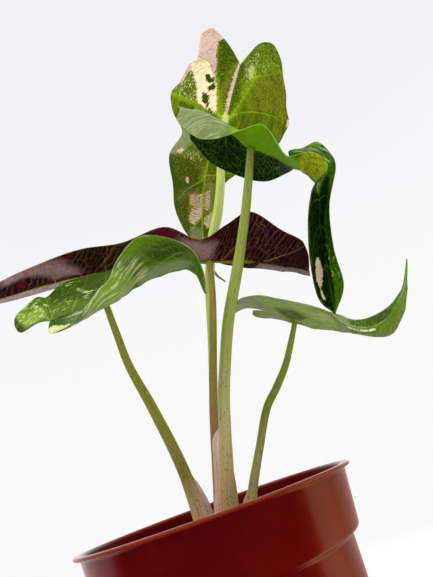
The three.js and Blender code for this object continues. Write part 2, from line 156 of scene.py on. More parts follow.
def attribute(tree, name, output="Fac"):
    return addNode(tree, "ShaderNodeAttribute", None, attribute_name=name).outputs[output]


def newGroup(name, inputs, outputs):
    group = bpy.data.node_groups.new(name, "ShaderNodeTree")
    for direction, sockets in (("INPUT", inputs), ("OUTPUT", outputs)):
        for socketName, kind in sockets.items():
            group.interface.new_socket(socketName, in_out=direction, socket_type="NodeSocket" + kind)
    entry = group.nodes.new("NodeGroupInput").outputs
    return group, entry


def closeGroup(group, results):
    addNode(group, "NodeGroupOutput", results)


def newMaterial(name, roughness=0.5):
    material = bpy.data.materials.new(name)
    material.use_nodes = True
    tree = material.node_tree
    shader = tree.nodes["Principled BSDF"]
    shader.inputs["Roughness"].default_value = roughness
    return material, tree, shader


def placeGroup(tree, group, inputs):
    return addNode(tree, "ShaderNodeGroup", inputs, node_tree=group).outputs


def bumpInto(tree, shader, height, strength, distance):
    inputs = {"Height": height, "Strength": strength, "Distance": distance}
    bump = addNode(tree, "ShaderNodeBump", inputs)
    tree.links.new(bump.outputs[0], shader.inputs["Normal"])


# A smooth curve through chosen points (Catmull-Rom): each stretch is a cubic whose slope at a point is
# half the step between that point's two neighbours. The ends are mirrored.
def smoothCurve(points, index):
    points = np.asarray(points, float)
    ends = [2 * points[0] - points[1], points, 2 * points[-1] - points[-2]]
    padded = np.vstack(ends)
    low = np.minimum(index.astype(int), len(points) - 2)
    step = (index - low)[:, None]
    a, b, c, d = padded[low], padded[low + 1], padded[low + 2], padded[low + 3]
    cubic = (3 * b - a - 3 * c + d) * step**3
    return 0.5 * (2 * b + (c - a) * step + (2 * a - 5 * b + 4 * c - d) * step**2 + cubic)


def listNumber(values, index):
    return np.interp(index, np.arange(len(values)), values)


# Numbers along a list of points, with the same number of steps from each point to the next.
def finerIndex(points, steps):
    return np.linspace(0, len(points) - 1, (len(points) - 1) * steps + 1)


# The length along a row of points, counted from the first.
def lengthAlong(points):
    return np.concatenate([[0], np.cumsum(np.linalg.norm(np.diff(points, axis=0), axis=1))])


def anglesRound(sides):
    return np.linspace(0, 2 * np.pi, sides + 1)[:-1]


plantLean = {"right": 17.5, "forward": 13.5, "foot": (-2.0, 0.0, 90.0)}


# Turns plant millimetres to the part's frame: tip forward about X, lean right about Y, then shift to
# the foot.
def plantToPart(points):
    right, forward = np.radians([plantLean["right"], plantLean["forward"]])
    aboutY = np.array([
        [np.cos(right), 0, np.sin(right)], [0, 1, 0], [-np.sin(right), 0, np.cos(right)],
    ])
    aboutX = np.array([
        [1, 0, 0], [0, np.cos(forward), -np.sin(forward)], [0, np.sin(forward), np.cos(forward)],
    ])
    return points @ (aboutY @ aboutX).T + np.array(plantLean["foot"])


# Two triangles for each cell of a grid of point numbers.
def gridTriangles(grid, flip=False):
    a, b, c, d = grid[:-1, :-1], grid[1:, :-1], grid[1:, 1:], grid[:-1, 1:]
    first = np.stack([a, b, c], -1).reshape(-1, 3)
    second = np.stack([a, c, d], -1).reshape(-1, 3)
    triangles = np.concatenate([first, second])
    return triangles[:, ::-1] if flip else triangles


# A grid of point numbers whose rows run round and close: its first column comes again at the end.
def roundGrid(rows, sides):
    grid = np.arange(rows * sides).reshape(rows, sides)
    return np.column_stack([grid, grid[:, 0]])


# The triangles of rings of points. Two more points, after the last ring, close the foot and the head.
def ringTriangles(rings, sides):
    grid, count = roundGrid(rings, sides), rings * sides
    foot = np.column_stack([np.full(sides, count), grid[0, 1:], grid[0, :-1]])
    head = np.column_stack([np.full(sides, count + 1), grid[-1, :-1], grid[-1, 1:]])
    return np.vstack([foot, gridTriangles(grid, flip=True), head])


# Leaves out triangles that have closed to a line.
def dropClosed(triangles):
    a, b, c = triangles.T
    return triangles[(a != b) & (b != c) & (c != a)]


def makeMesh(name, points, triangles, materials, slots=None, fields=None):
    mesh = bpy.data.meshes.new(name)
    mesh.from_pydata((np.asarray(points) * metresPerMillimetre).tolist(), [], triangles.tolist())
    for material in materials:
        mesh.materials.append(material)
    mesh.polygons.foreach_set("use_smooth", np.ones(len(triangles), bool))
    if slots is not None:
        mesh.polygons.foreach_set("material_index", slots.astype(np.int32))
    for fieldName, values in (fields or {}).items():
        values = np.asarray(values, np.float32)
        kind = "FLOAT_VECTOR" if values.ndim == 2 else "FLOAT"
        layer = mesh.attributes.new(fieldName, kind, "POINT")
        layer.data.foreach_set("vector" if values.ndim == 2 else "value", values.ravel())
    mesh.update()
    piece = bpy.data.objects.new(name, mesh)
    bpy.context.scene.collection.objects.link(piece)
    return piece


def finishPiece(piece, node):
    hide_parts(node)
    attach(piece, "root")


stageLook = {
    "background": tint(249, 249, 250),
    "backgroundTop": tint(240, 240, 245),
    "backdropFrom": (0.25, 0.85),
    "floorRings": [0, 0.05, 0.1, 0.2, 0.4, 0.8, 2.5],  # metres
    "floorSides": 96,
    "floorHeight": -0.3,  # millimetres
    "floorColour": tint(240, 240, 240),
    "floorEndsFrom": (0.12, 0.45),  # metres from the pot, where it runs into the backdrop
    # by direction: 0 is towards the camera, 0.5 to the side and 1 behind the pot
    "floorMirroredLeft": [
        (0.0, (0.02, 0.02, 0.02, 1)), (0.46, (0.02, 0.02, 0.02, 1)), (0.54, (1.1, 0.8, 0.8, 1)),
        (1.0, (1.0, 0.8, 0.8, 1)),
    ],
    "floorMirroredRight": [
        (0.0, (0.02, 0.02, 0.02, 1)), (0.19, (0.02, 0.02, 0.02, 1)), (0.25, (0.5, 0.08, 0, 1)),
        (0.31, (1.3, 0.35, 0.04, 1)), (0.345, (2.9, 1.6, 0.85, 1)), (0.49, (2.4, 1.15, 0.55, 1)),
        (0.62, (1.16, 0.55, 0.25, 1)), (0.69, (1.0, 0.58, 0.34, 1)), (0.78, (0.8, 0.5, 0.4, 1)),
    ],
    # how bright the room is above, behind and at the right, and between which directions it comes up
    "skyTop": 1.5,
    "skyTopFrom": (0.45, 0.95),
    "skyBehind": 1.1,
    "skyBehindFrom": (-0.05, 0.75),
    "skyRight": 1.1,
    "skyRightFrom": (0.8, 0.98),
    "skyRightColour": (1.0, 0.6, 0.38, 1),
    "skyFront": 0.03,
    "lightsAim": (0, 0, 0.2),  # metres
    "lights": [
        # name, place in metres, width, watts, seen in reflections
        ("lightLeft", (-0.55, -0.45, 0.75), 0.7, 6.0, False),
        ("lightRight", (0.6, -0.35, 0.65), 0.6, 3.6, False),
        ("lightFront", (0.0, -1.0, 0.25), 0.8, 3.4, False),
    ],
}


# The surroundings: the camera sees a plain pale backdrop, and everything else is lit by a soft room
# that is bright behind the plant, above it and at its right, and dark in front of it.
def makeWorld(look):
    world = bpy.data.worlds.new("room")
    bpy.context.scene.world = world
    world.use_nodes = True
    tree = world.node_tree
    tree.nodes.clear()
    direction = addNode(tree, "ShaderNodeTexCoord").outputs["Generated"]
    parts = splitVector(tree, direction)
    above = fade(tree, parts[2], *look["skyTopFrom"], 0.0, look["skyTop"])
    behind = fade(tree, parts[1], *look["skyBehindFrom"], 0.0, look["skyBehind"])
    side = fade(tree, parts[0], *look["skyRightFrom"], 0.0, look["skyRight"])
    bright = calc(tree, "MAXIMUM", calc(tree, "MAXIMUM", above, side), behind)
    light = calc(tree, "ADD", bright, look["skyFront"])
    path = addNode(tree, "ShaderNodeLightPath").outputs
    warmth = fade(tree, side, 0.0, look["skyRight"])
    roomColour = mixColour(tree, warmth, (1, 1, 1, 1), look["skyRightColour"])
    room = addNode(tree, "ShaderNodeBackground", {"Color": roomColour, "Strength": light})
    height = fade(tree, parts[2], *look["backdropFrom"])
    backdropColour = mixColour(tree, height, look["background"], look["backgroundTop"])
    backdrop = addNode(tree, "ShaderNodeBackground", {"Color": backdropColour, "Strength": 1.0})
    mixed = mixShader(tree, path["Is Camera Ray"], room.outputs[0], backdrop.outputs[0])
    addNode(tree, "ShaderNodeOutputWorld", {"Surface": mixed})


# The floor is a disc. Near the pot it takes soft shadows; further out it runs into the backdrop. Gloss
# mirrors it dark in front, pale behind at the left and warm at the right, where it gives the pot its
# upright sheen.
def makeFloor(look):
    radii, sides, level = np.array(look["floorRings"]) * 1000, look["floorSides"], look["floorHeight"]
    across, angles = radii[1:, None], anglesRound(sides)
    rings = np.stack([across * np.cos(angles), across * np.sin(angles), level + 0 * across * angles], -1)
    points = np.vstack([[[0, 0, level]], rings.reshape(-1, 3)])
    grid = roundGrid(len(radii) - 1, sides) + 1
    centre = np.column_stack([np.zeros(sides, int), grid[0, :-1], grid[0, 1:]])
    material, tree, shader = newMaterial("paleFloor", 0.7)
    fill(tree, shader, {"Base Color": look["floorColour"], "Specular IOR Level": 0.1})
    place = objectPlace(tree)
    distance = addNode(tree, "ShaderNodeVectorMath", {0: place}, operation="LENGTH").outputs["Value"]
    far = fade(tree, distance, *look["floorEndsFrom"])
    glow = addNode(tree, "ShaderNodeEmission", {"Color": look["background"], "Strength": 1.0})
    seen = mixShader(tree, far, shader.outputs[0], glow.outputs[0])
    parts = splitVector(tree, place)
    turned = calc(tree, "MULTIPLY_ADD", calc(tree, "DIVIDE", parts[1], distance), 0.5, 0.5)
    leftColour = colourRamp(tree, turned, look["floorMirroredLeft"])
    rightColour = colourRamp(tree, turned, look["floorMirroredRight"])
    atRight = fade(tree, parts[0], 0.0, 0.04)
    mirroredColour = mixColour(tree, atRight, leftColour, rightColour)
    mirrored = addNode(tree, "ShaderNodeEmission", {"Color": mirroredColour, "Strength": 1.0})
    path = addNode(tree, "ShaderNodeLightPath").outputs
    bounced = mixShader(tree, path["Is Glossy Ray"], shader.outputs[0], mirrored.outputs[0])
    result = mixShader(tree, path["Is Camera Ray"], bounced, seen)
    fill(tree, tree.nodes["Material Output"], {"Surface": result})
    floor = makeMesh("floor", points, np.vstack([centre, gridTriangles(grid)]), [material])


def makeLights(look):
    for name, place, width, watts, mirrored in look["lights"]:
        data = bpy.data.lights.new(name, "AREA")
        data.shape = "DISK"
        data.size = width
        data.energy = watts
        light = bpy.data.objects.new(name, data)
        bpy.context.scene.collection.objects.link(light)
        light.location = place
        toPlant = Vector(look["lightsAim"]) - Vector(place)
        light.rotation_euler = toPlant.to_track_quat("-Z", "Y").to_euler()
        light.visible_glossy = mirrored


makeWorld(stageLook)
makeFloor(stageLook)
makeLights(stageLook)
bpy.context.scene.view_settings.view_transform = "Standard"
print("stage and lights set")


potShape = {
    "sides": 256,
    # radius and height, up the outside, over the lip, down the inside and across the floor
    "profile": [
        (0, 0), (20, 0), (40, 0), (44.3, 0), (45.2, 0.25), (45.65, 0.7), (45.8, 1.2), (46.4, 12),
        (48.3, 40), (50.2, 69), (50.8, 79), (51.1, 79.9), (51.9, 80.5), (53, 80.9), (53.9, 81.3),
        (54.35, 81.9), (54.55, 82.8), (55.6, 90), (57.2, 101.2), (57.5, 102.1), (58.1, 102.5),
        (59.2, 102.5), (59.75, 102.75), (60, 103.25), (59.95, 103.7), (59.5, 104), (58.3, 104.05),
        (57.1, 103.95), (56.6, 103.6), (56.3, 103), (54.9, 93.5), (53.3, 83), (52.9, 82), (51.9, 81.5),
        (50.3, 81.2), (49.75, 80.6), (49.5, 79.5), (48.5, 64), (46.7, 36), (44.9, 6), (44.4, 2.5),
        (43.4, 1.7), (40, 1.6), (20, 1.6), (0, 1.6),
    ],
    "drainHoles": 6,
    "drainRadius": 4.0,
    "drainCircle": 31.0,
    "drill": (-5, 5),  # the heights it starts and ends at
    "drillSides": 48,
}
potLook = {
    "colour": tint(84, 2, 1),
    "deep": tint(70, 0, 0),
    # the lip's top, painted lighter and more orange as a painted highlight, and the heights where it begins
    "lip": tint(124, 48, 22),
    "lipHighlightFrom": (0.1022, 0.1037),  # metres
    "materials": [
        # name, roughness, specular level: the outside, then the inside
        ("glossyMaroonPlastic", 0.16, 0.2), ("dullMaroonPlastic", 0.34, 0.03),
    ],
    "insideFrom": 29,  # the profile point where the inside starts
}


# A profile of radius r(s) and height z(s) turned about Z: x = r·cos(a), y = r·sin(a). The first and
# last points lie on the axis and are single points.
def turnedSurface(profile, sides):
    profile = np.asarray(profile, float)
    angles = anglesRound(sides)
    radius, height = profile[1:-1, :1], profile[1:-1, 1:]
    rings = np.stack([
        radius * np.cos(angles), radius * np.sin(angles), height + 0 * angles,
    ], -1).reshape(-1, 3)
    points = np.vstack([rings, [[0, 0, profile[0, 1]], [0, 0, profile[-1, 1]]]])
    return points, ringTriangles(len(profile) - 2, sides)


# Rounds the corners of a profile: a smooth curve through its points, read more finely.
def finerProfile(profile, steps):
    return smoothCurve(profile, finerIndex(profile, steps))


def potMaterial(look, name, roughness, specular):
    material, tree, shader = newMaterial(name, roughness)
    place = objectPlace(tree)
    parts = splitVector(tree, place)
    cloud = grainNoise(tree, place, 22.0, 3.0, 0.55)
    base = mixColour(tree, fade(tree, cloud, 0.35, 0.7), look["colour"], look["deep"])
    streaks = grainNoise(tree, scaled(tree, place, (160, 160, 9)), 1.0, 3.0, 0.6)
    base = mixColour(tree, fade(tree, streaks, 0.55, 0.8, 0.0, 0.1), base, look["lip"])
    # The top of the lip is painted lighter and more orange: a painted highlight where the light falls on
    # it.
    lipHighlightMask = fade(tree, parts[2], *look["lipHighlightFrom"])
    base = mixColour(tree, product(tree, lipHighlightMask, 0.6), base, look["lip"])
    fine = grainNoise(tree, place, 900.0, 2.0, 0.6)
    scuffs = grainNoise(tree, scaled(tree, place, (420, 420, 30)), 1.0, 4.0, 0.7)
    rough = fade(tree, scuffs, 0.5, 0.8, roughness, roughness + 0.12)
    waves = grainNoise(tree, scaled(tree, place, (60, 60, 12)), 1.0, 2.0, 0.5)
    height = calc(tree, "ADD", product(tree, waves, 0.7), product(tree, fine, 0.05))
    bumpInto(tree, shader, height, 0.12, 0.0003)
    fill(tree, shader, {"Base Color": base, "Roughness": rough, "Specular IOR Level": specular})
    return material


def makePot(shape, look):
    points, triangles = turnedSurface(shape["profile"], shape["sides"])
    materials = [potMaterial(look, *settings) for settings in look["materials"]]
    ring = np.minimum(triangles, triangles[:, [1, 2, 0]]).min(axis=1) // shape["sides"] + 1
    pot = makeMesh("pot_dressed", points, triangles, materials, ring >= look["insideFrom"])
    angles = (np.arange(shape["drainHoles"]) + 0.5) / shape["drainHoles"] * 2 * np.pi
    radius, (low, high) = shape["drainRadius"], shape["drill"]
    drillProfile = [(0, low), (radius, low), (radius, high), (0, high)]
    drillPoints, drillTriangles = turnedSurface(drillProfile, shape["drillSides"])
    allPoints, allTriangles = [], []
    for number, angle in enumerate(angles):
        shift = shape["drainCircle"] * np.array([np.cos(angle), np.sin(angle), 0])
        allPoints.append(drillPoints + shift)
        allTriangles.append(drillTriangles + number * len(drillPoints))
    drill = makeMesh("drill", np.vstack(allPoints), np.vstack(allTriangles), [])
    cut = pot.modifiers.new("drainHoles", "BOOLEAN")
    cut.operation = "DIFFERENCE"
    cut.object = drill
    cutMesh = bpy.data.meshes.new_from_object(pot.evaluated_get(bpy.context.evaluated_depsgraph_get()))
    pot.modifiers.clear()
    pot.data = cutMesh
    bpy.data.objects.remove(drill)
    pot.data.set_sharp_from_angle(angle=math.radians(50))
    finishPiece(pot, "pot")


makePot(potShape, potLook)
print("pot made")


mixShape = {
    "top": 90.0,
    "outline": [
        (0, 1.9), (30, 1.9), (43.6, 1.9), (44.6, 4), (46.5, 36), (48.3, 64), (49.2, 80), (49.6, 81.7),
        (52.5, 82.6), (53.6, 88), (53.6, 89.6),
    ],
    "topRadius": 53.2,
    "rings": 90,
    "sides": 240,
    "crumbsWithin": 52.9,
    "crumbRoom": 0.6,  # the least from a crumb's middle to that circle
    "stem": (1, 2, 9),  # the place and radius that crumbs keep clear of
    "crumbs": 1500,
    "seed": 7,
}
mixLook = {
    "dark": tint(38, 26, 20),
    "bark": tint(96, 62, 40),
    "fibre": tint(126, 92, 62),
    "perlite": tint(214, 208, 198),
}


# The height of the mix: z = top + three crossed waves, 0.9, 0.5 and 0.22 mm high.
def mixHeight(x, y):
    wide = 0.9 * np.sin(x * 0.19 + 1) * np.cos(y * 0.23)
    narrow = 0.5 * np.sin(x * 0.53 + y * 0.31) * np.cos(y * 0.47 - x * 0.2)
    fine = 0.22 * np.sin(x * 1.9 + 2 * np.sin(y * 0.9)) * np.sin(y * 1.7 + 1.3)
    return mixShape["top"] + wide + narrow + fine


# One crumb: the 26 outer points of a 3 by 3 by 3 grid, pushed out to a ball of radius 1.
def crumbForm():
    steps = np.array([-1.0, 0.0, 1.0])
    x, y, z = np.meshgrid(steps, steps, steps, indexing="ij")
    corners = np.stack([x, y, z], -1).reshape(-1, 3)
    corners = corners[np.abs(corners).sum(1) > 0.5]
    corners = corners / np.linalg.norm(corners, axis=1, keepdims=True)
    faces = []
    for axis in range(3):
        for side in (-1, 1):
            others = [k for k in range(3) if k != axis]
            grid = np.zeros((3, 3), int)
            for i, first in enumerate(steps):
                for j, second in enumerate(steps):
                    goal = np.zeros(3)
                    goal[axis], goal[others[0]], goal[others[1]] = side, first, second
                    goal = goal / np.linalg.norm(goal)
                    grid[i, j] = np.argmin(np.linalg.norm(corners - goal, axis=1))
            faces.append(gridTriangles(grid, flip=(side > 0) == (axis == 1)))
    return corners, np.vstack(faces)


def mixMaterial(look):
    material, tree, shader = newMaterial("pottingMix", 0.95)
    place = objectPlace(tree)
    kind = attribute(tree, "crumbKind")
    coarse = grainNoise(tree, place, 420.0, 4.0, 0.65)
    fine = grainNoise(tree, place, 1700.0, 3.0, 0.6)
    colour = mixColour(tree, fade(tree, coarse, 0.42, 0.66), look["dark"], look["bark"])
    barkLong = grainNoise(tree, scaled(tree, place, (300, 1500, 900)), 1.0, 3.0, 0.6)
    barkColour = mixColour(tree, fade(tree, barkLong, 0.4, 0.65), look["bark"], look["fibre"])
    colour = mixColour(tree, fade(tree, kind, 0.3, 0.5), colour, barkColour)
    colour = mixColour(tree, fade(tree, kind, 0.8, 0.9), colour, look["perlite"])
    shade = fade(tree, fine, 0.3, 0.7, 0.6, 1.15)
    fill(tree, shader, {"Base Color": shaded(tree, colour, shade)})
    height = calc(tree, "ADD", product(tree, coarse, 0.7), product(tree, fine, 0.3))
    bumpInto(tree, shader, height, 0.8, 0.0009)
    return material


# The bed is turned about Z with a waved top. The crumbs lie on it, each of its own size, stretched, turned
# and roughened, and sunk to near its middle.
def makeMix(shape, look):
    outline = np.array(shape["outline"], float)
    radii = np.linspace(shape["topRadius"], 0, shape["rings"])
    angles = anglesRound(shape["sides"])
    x, y = radii[:, None] * np.cos(angles), radii[:, None] * np.sin(angles)
    top = np.stack([x, y, mixHeight(x, y)], -1)
    side = np.stack([
        outline[1:, :1] * np.cos(angles), outline[1:, :1] * np.sin(angles),
        outline[1:, 1:] + 0 * angles,
    ], -1)
    rings = np.concatenate([side, top[:-1]])
    points = np.vstack([rings.reshape(-1, 3), [[0, 0, outline[0, 1]], top[-1, 0]]])
    triangles = ringTriangles(len(rings), shape["sides"])

    pick = np.random.default_rng(shape["seed"])
    form, formFaces = crumbForm()
    total = shape["crumbs"]
    away = (shape["crumbsWithin"] - shape["crumbRoom"]) * np.sqrt(pick.random(total))
    around = 2 * np.pi * pick.random(total)
    cx, cy = away * np.cos(around), away * np.sin(around)
    size = 0.5 + 1.3 * pick.random(total) ** 2.2  # most crumbs are small
    stretch = size[:, None] * (0.45 + 0.9 * pick.random((total, 3)))
    spin = np.linalg.qr(pick.normal(size=(total, 3, 3)))[0]
    spin = spin * np.linalg.det(spin)[:, None, None]
    rough = 1 + 0.28 * (pick.random((total, len(form), 1)) - 0.5)
    shapes = np.einsum("nij,nkj->nki", spin, form[None] * rough * stretch[:, None, :])
    centres = np.stack([cx, cy, mixHeight(cx, cy) + 0.15 * size], -1)
    stemX, stemY, stemRadius = shape["stem"]
    clearOfStem = np.hypot(cx - stemX, cy - stemY) > stemRadius
    keep = clearOfStem & (away + stretch.max(1) < shape["crumbsWithin"])
    shapes, centres = shapes[keep], centres[keep]
    kind = pick.choice([0.1, 0.6, 1.0], size=total, p=[0.5, 0.4, 0.1])[keep]
    crumbPoints = (shapes + centres[:, None]).reshape(-1, 3)
    crumbFaces = (formFaces[None] + len(form) * np.arange(len(shapes))[:, None, None]).reshape(-1, 3)
    mix = makeMesh(
        "potting_mix_dressed", np.vstack([points, crumbPoints]),
        np.vstack([triangles, crumbFaces + len(points)]), [mixMaterial(look)],
        fields={"crumbKind": np.concatenate([np.zeros(len(points)), np.repeat(kind, len(form))])},
    )
    finishPiece(mix, "potting_mix")


makeMix(mixShape, mixLook)
print("potting mix made")


crownShape = {
    "centre": (2.5, 3.0),
    "depthScale": 0.9,
    "profile": [
        (0, -27), (5, -25.5), (9.5, -21), (12.5, -15), (14, -9), (13, -4.5), (10.5, -1.2), (6, 0.8),
        (0, 1.5),
    ],
    "roots": [
        [(2.5, 3, -16), (15, 5, -20), (24, 9, -27), (28, 11, -38)],
        [(2.5, 3, -18), (-8, 8, -22), (-17, 14, -29), (-21, 17, -40)],
        [(2.5, 3, -20), (2, -8, -25), (-1, -17, -32), (-3, -22, -44)],
        [(2.5, 3, -20), (6, 13, -27), (8, 21, -36), (9, 24, -47)],
        [(2.5, 3, -18), (-7, -4, -27), (-14, -9, -38), (-16, -12, -50)],
    ],
    "rootRadii": [2.2, 1.9, 1.5, 0.9],
    "sides": 96,
    "steps": 8,
    "rootSides": 14,
    "rootSteps": 10,
}
crownLook = {
    "skin": tint(150, 118, 84),
    "scar": tint(92, 62, 44),
    "root": tint(200, 182, 150),
}


# A tube: rings of radius r(s) round a smooth path. Each ring lies in the plane square to the path, and
# starts from the same side of it. Place holds the length along and a circle of radius 3 around, in
# millimetres, as if the tube were straight and even.
def tube(path, radii, sides, steps, swell=None):
    index = finerIndex(path, steps)
    centres = smoothCurve(path, index)
    radius = listNumber(radii, index)[:, None]
    along = np.gradient(centres, axis=0)
    along /= np.linalg.norm(along, axis=1, keepdims=True)
    across = np.array([0.0, 1.0, 0.0]) - along * along[:, 1:2]
    across /= np.linalg.norm(across, axis=1, keepdims=True)
    sideways = np.cross(along, across)
    length = lengthAlong(centres)
    angles = anglesRound(sides)
    if swell is not None:
        radius = radius * swell(length[:, None], angles[None, :])
    rings = centres[:, None] + (radius * np.cos(angles))[..., None] * across[:, None]
    rings = rings + (radius * np.sin(angles))[..., None] * sideways[:, None]
    points = np.vstack([rings.reshape(-1, 3), centres[:1], centres[-1:]])
    around = np.tile(angles, len(length))
    place = np.stack([np.repeat(length, sides), np.cos(around) * 3, np.sin(around) * 3], -1)
    place = np.vstack([place, [[0, 0, 0], [length[-1], 0, 0]]])
    return points, ringTriangles(len(rings), sides), place


def crownMaterial(look):
    material, tree, shader = newMaterial("corkyCrown", 0.8)
    place = objectPlace(tree)
    isRoot = attribute(tree, "rootness")
    rings = addNode(tree, "ShaderNodeTexWave", {
        "Vector": place, "Scale": 95.0, "Distortion": 2.5, "Detail": 3.0,
    }, bands_direction="Z").outputs[1]
    rough = grainNoise(tree, place, 500.0, 4.0, 0.6)
    colour = mixColour(tree, fade(tree, rings, 0.25, 0.7), look["scar"], look["skin"])
    colour = mixColour(tree, isRoot, colour, look["root"])
    colour = mixColour(tree, fade(tree, rough, 0.5, 0.75, 0.0, 0.6), colour, look["scar"])
    fill(tree, shader, {"Base Color": colour})
    bumpInto(tree, shader, calc(tree, "ADD", rings, rough), 0.6, 0.0006)
    return material


# The crown is its profile turned about its own axis, with ring scars: r is larger by a small wave of
# the height.
def makeCrown(shape, look):
    profile = finerProfile(shape["profile"], shape["steps"])
    profile[:, 0] = np.maximum(profile[:, 0], 0)
    profile[1:-1, 0] += 0.22 * np.sin(profile[1:-1, 1] * 3.1) * (profile[1:-1, 0] > 3)
    points, triangles = turnedSurface(profile, shape["sides"])
    points = points * [1, shape["depthScale"], 1] + [*shape["centre"], 0]
    allPoints, allTriangles, rootness = [points], [triangles], [np.zeros(len(points))]
    for path in shape["roots"]:
        rootPoints, rootTriangles = tube(
            path, shape["rootRadii"], shape["rootSides"], shape["rootSteps"]
        )[:2]
        allTriangles.append(rootTriangles + sum(len(p) for p in allPoints))
        allPoints.append(rootPoints)
        rootness.append(np.ones(len(rootPoints)))
    crown = makeMesh(
        "crown_dressed", plantToPart(np.vstack(allPoints)), np.vstack(allTriangles),
        [crownMaterial(look)], fields={"rootness": np.concatenate(rootness)},
    )
    finishPiece(crown, "crown")


makeCrown(crownShape, crownLook)
print("crown made")


petioleShapes = {
    "top": {
        "path": [
            (0.5, 10.5, -2), (-1.5, 13, 17.5), (-3, 17.5, 52), (-4, 19, 86), (-5, 19, 106.5),
            (-5, 19, 123), (-3.5, 18.5, 140), (-1, 18, 152), (0.5, 17, 167), (1, 16, 182),
            (3.5, 14.5, 207),
        ],
        "radius": [2.3, 2.2, 2.1, 2.2, 2.3, 2.5, 2.6, 2.6, 2.4, 2.1, 2],
        "wings": [],
        "slot": "petiole_green",
    },
    "front": {
        "path": [
            (2.5, -1, -2), (2.5, -2.5, 12.5), (2, -4, 22), (2, -5.5, 31.5), (1.5, -7, 44),
            (1, -9, 58.5), (1.5, -11.5, 73), (3, -14, 92), (6.5, -16, 111.5), (9, -16.5, 127),
            (11.5, -16.5, 145.5), (14, -14.5, 172),
        ],
        "radius": [3.3, 3.3, 3.2, 3, 2.7, 2.6, 2.5, 2.5, 2.45, 2.2, 2.05, 1.7],
        "wings": [
            {
                "axis": [
                    (2.5, -1, -2), (2.5, -2.5, 12.5), (2, -4, 22), (2, -5.5, 31.5), (1.5, -6.5, 39),
                    (1.5, -7, 43.5), (1.5, -7.5, 47),
                ],
                "edge": [
                    (-2.5, 1.5, -3), (-3, 0.5, 11.5), (-3, -0.5, 21), (-3.5, -2, 31), (-4, -3.5, 39),
                    (-3.5, -4.5, 43), (-1.5, -6, 46.5),
                ],
            },
            {
                "axis": [(2.5, -1, -2), (2.5, -2.5, 12.5), (2, -4, 22), (2, -5.5, 31.5)],
                "edge": [(7.5, 1, -3), (7.5, 0, 11.5), (6.5, -1.5, 21), (4.5, -4.5, 32.5)],
                "coloured": False,
            },
        ],
        "slot": "petiole_green",
    },
    "purple": {
        "path": [
            (-1, 5, -1), (-1.5, 4.5, 20), (-3, 3.5, 44), (-3.5, 3, 62), (-3.5, 3, 94), (-4, 3, 111),
            (-5.5, 3, 122.5),
        ],
        "radius": [2.2, 2.1, 1.95, 1.9, 1.7, 1.5, 1.4],
        "wings": [],
        "slot": "petiole_brown",
    },
    "lower_left": {
        "path": [
            (-4.5, -4, -1), (-8.5, -6, 10.5), (-11, -8, 18), (-15, -11, 29), (-20, -15, 40.5),
            (-28.5, -21, 57.5), (-36, -28, 72), (-40, -34.5, 84), (-43.5, -42, 96),
        ],
        "radius": [3.3, 3.1, 2.9, 2.5, 2.3, 1.95, 1.6, 1.35, 1.15],
        "wings": [
            {
                "axis": [(-4.5, -4, -1), (-8.5, -6, 10.5), (-11, -8, 18), (-13.5, -10, 25), (-15, -11, 29)],
                "edge": [
                    (-2, -3.5, 1), (-3.5, -4, 12), (-5.5, -5.5, 17.5), (-9, -8, 24),
                    (-12, -10.5, 28.5),
                ],
            },
        ],
        "slot": "petiole_green",
    },
    "lower_right": {
        "path": [
            (11, 2, -2), (12.5, 2.5, 10), (14, 3, 22), (17, 3, 37), (20.5, 3, 53.5), (25.5, 3, 63.5),
            (29.5, 3, 72.5), (32, 3, 81), (35.3, 4.4, 94),
        ],
        "radius": [2.6, 2.4, 2.1, 1.8, 1.8, 1.75, 1.6, 1.45, 1.15],
        "wings": [
            {
                "axis": [(11, 2, -4), (12.5, 2.5, 10), (13.5, 3, 16.5), (14, 3, 20.5)],
                "edge": [(9, 4, -4), (9, 4, 9.5), (9.5, 3.5, 15), (12, 3, 21)],
            },
        ],
        "slot": "petiole_green",
    },
}
petioleGrid = {
    "sides": 36,
    "steps": 14,
    "wingRows": 12,
    "wingColumns": 14,
    "wingThickness": 0.84,
}
petioleLooks = {
    "top": {
        "low": tint(200, 213, 122), "high": tint(192, 208, 112), "foot": tint(190, 180, 116),
        "dash": tint(142, 144, 70), "dashes": 0.25, "footTo": 30.0, "highFrom": 90.0,
    },
    "front": {
        "low": tint(184, 178, 122), "high": tint(128, 144, 58), "foot": tint(214, 186, 134),
        "dash": tint(98, 60, 40), "dashes": 0.8, "footTo": 45.0, "highFrom": 95.0,
    },
    "purple": {
        "low": tint(164, 108, 90), "high": tint(138, 134, 54), "foot": tint(168, 124, 96),
        "dash": tint(98, 48, 40), "dashes": 0.8, "footTo": 35.0, "highFrom": 70.0,
    },
    "lower_left": {
        "low": tint(148, 136, 74), "high": tint(116, 124, 26), "foot": tint(240, 200, 158),
        "dash": tint(84, 64, 30), "dashes": 0.8, "footTo": 30.0, "highFrom": 60.0,
    },
    "lower_right": {
        "low": tint(196, 188, 122), "high": tint(114, 128, 28), "foot": tint(214, 196, 132),
        "dash": tint(84, 70, 30), "dashes": 0.8, "footTo": 14.0, "highFrom": 55.0,
    },
}


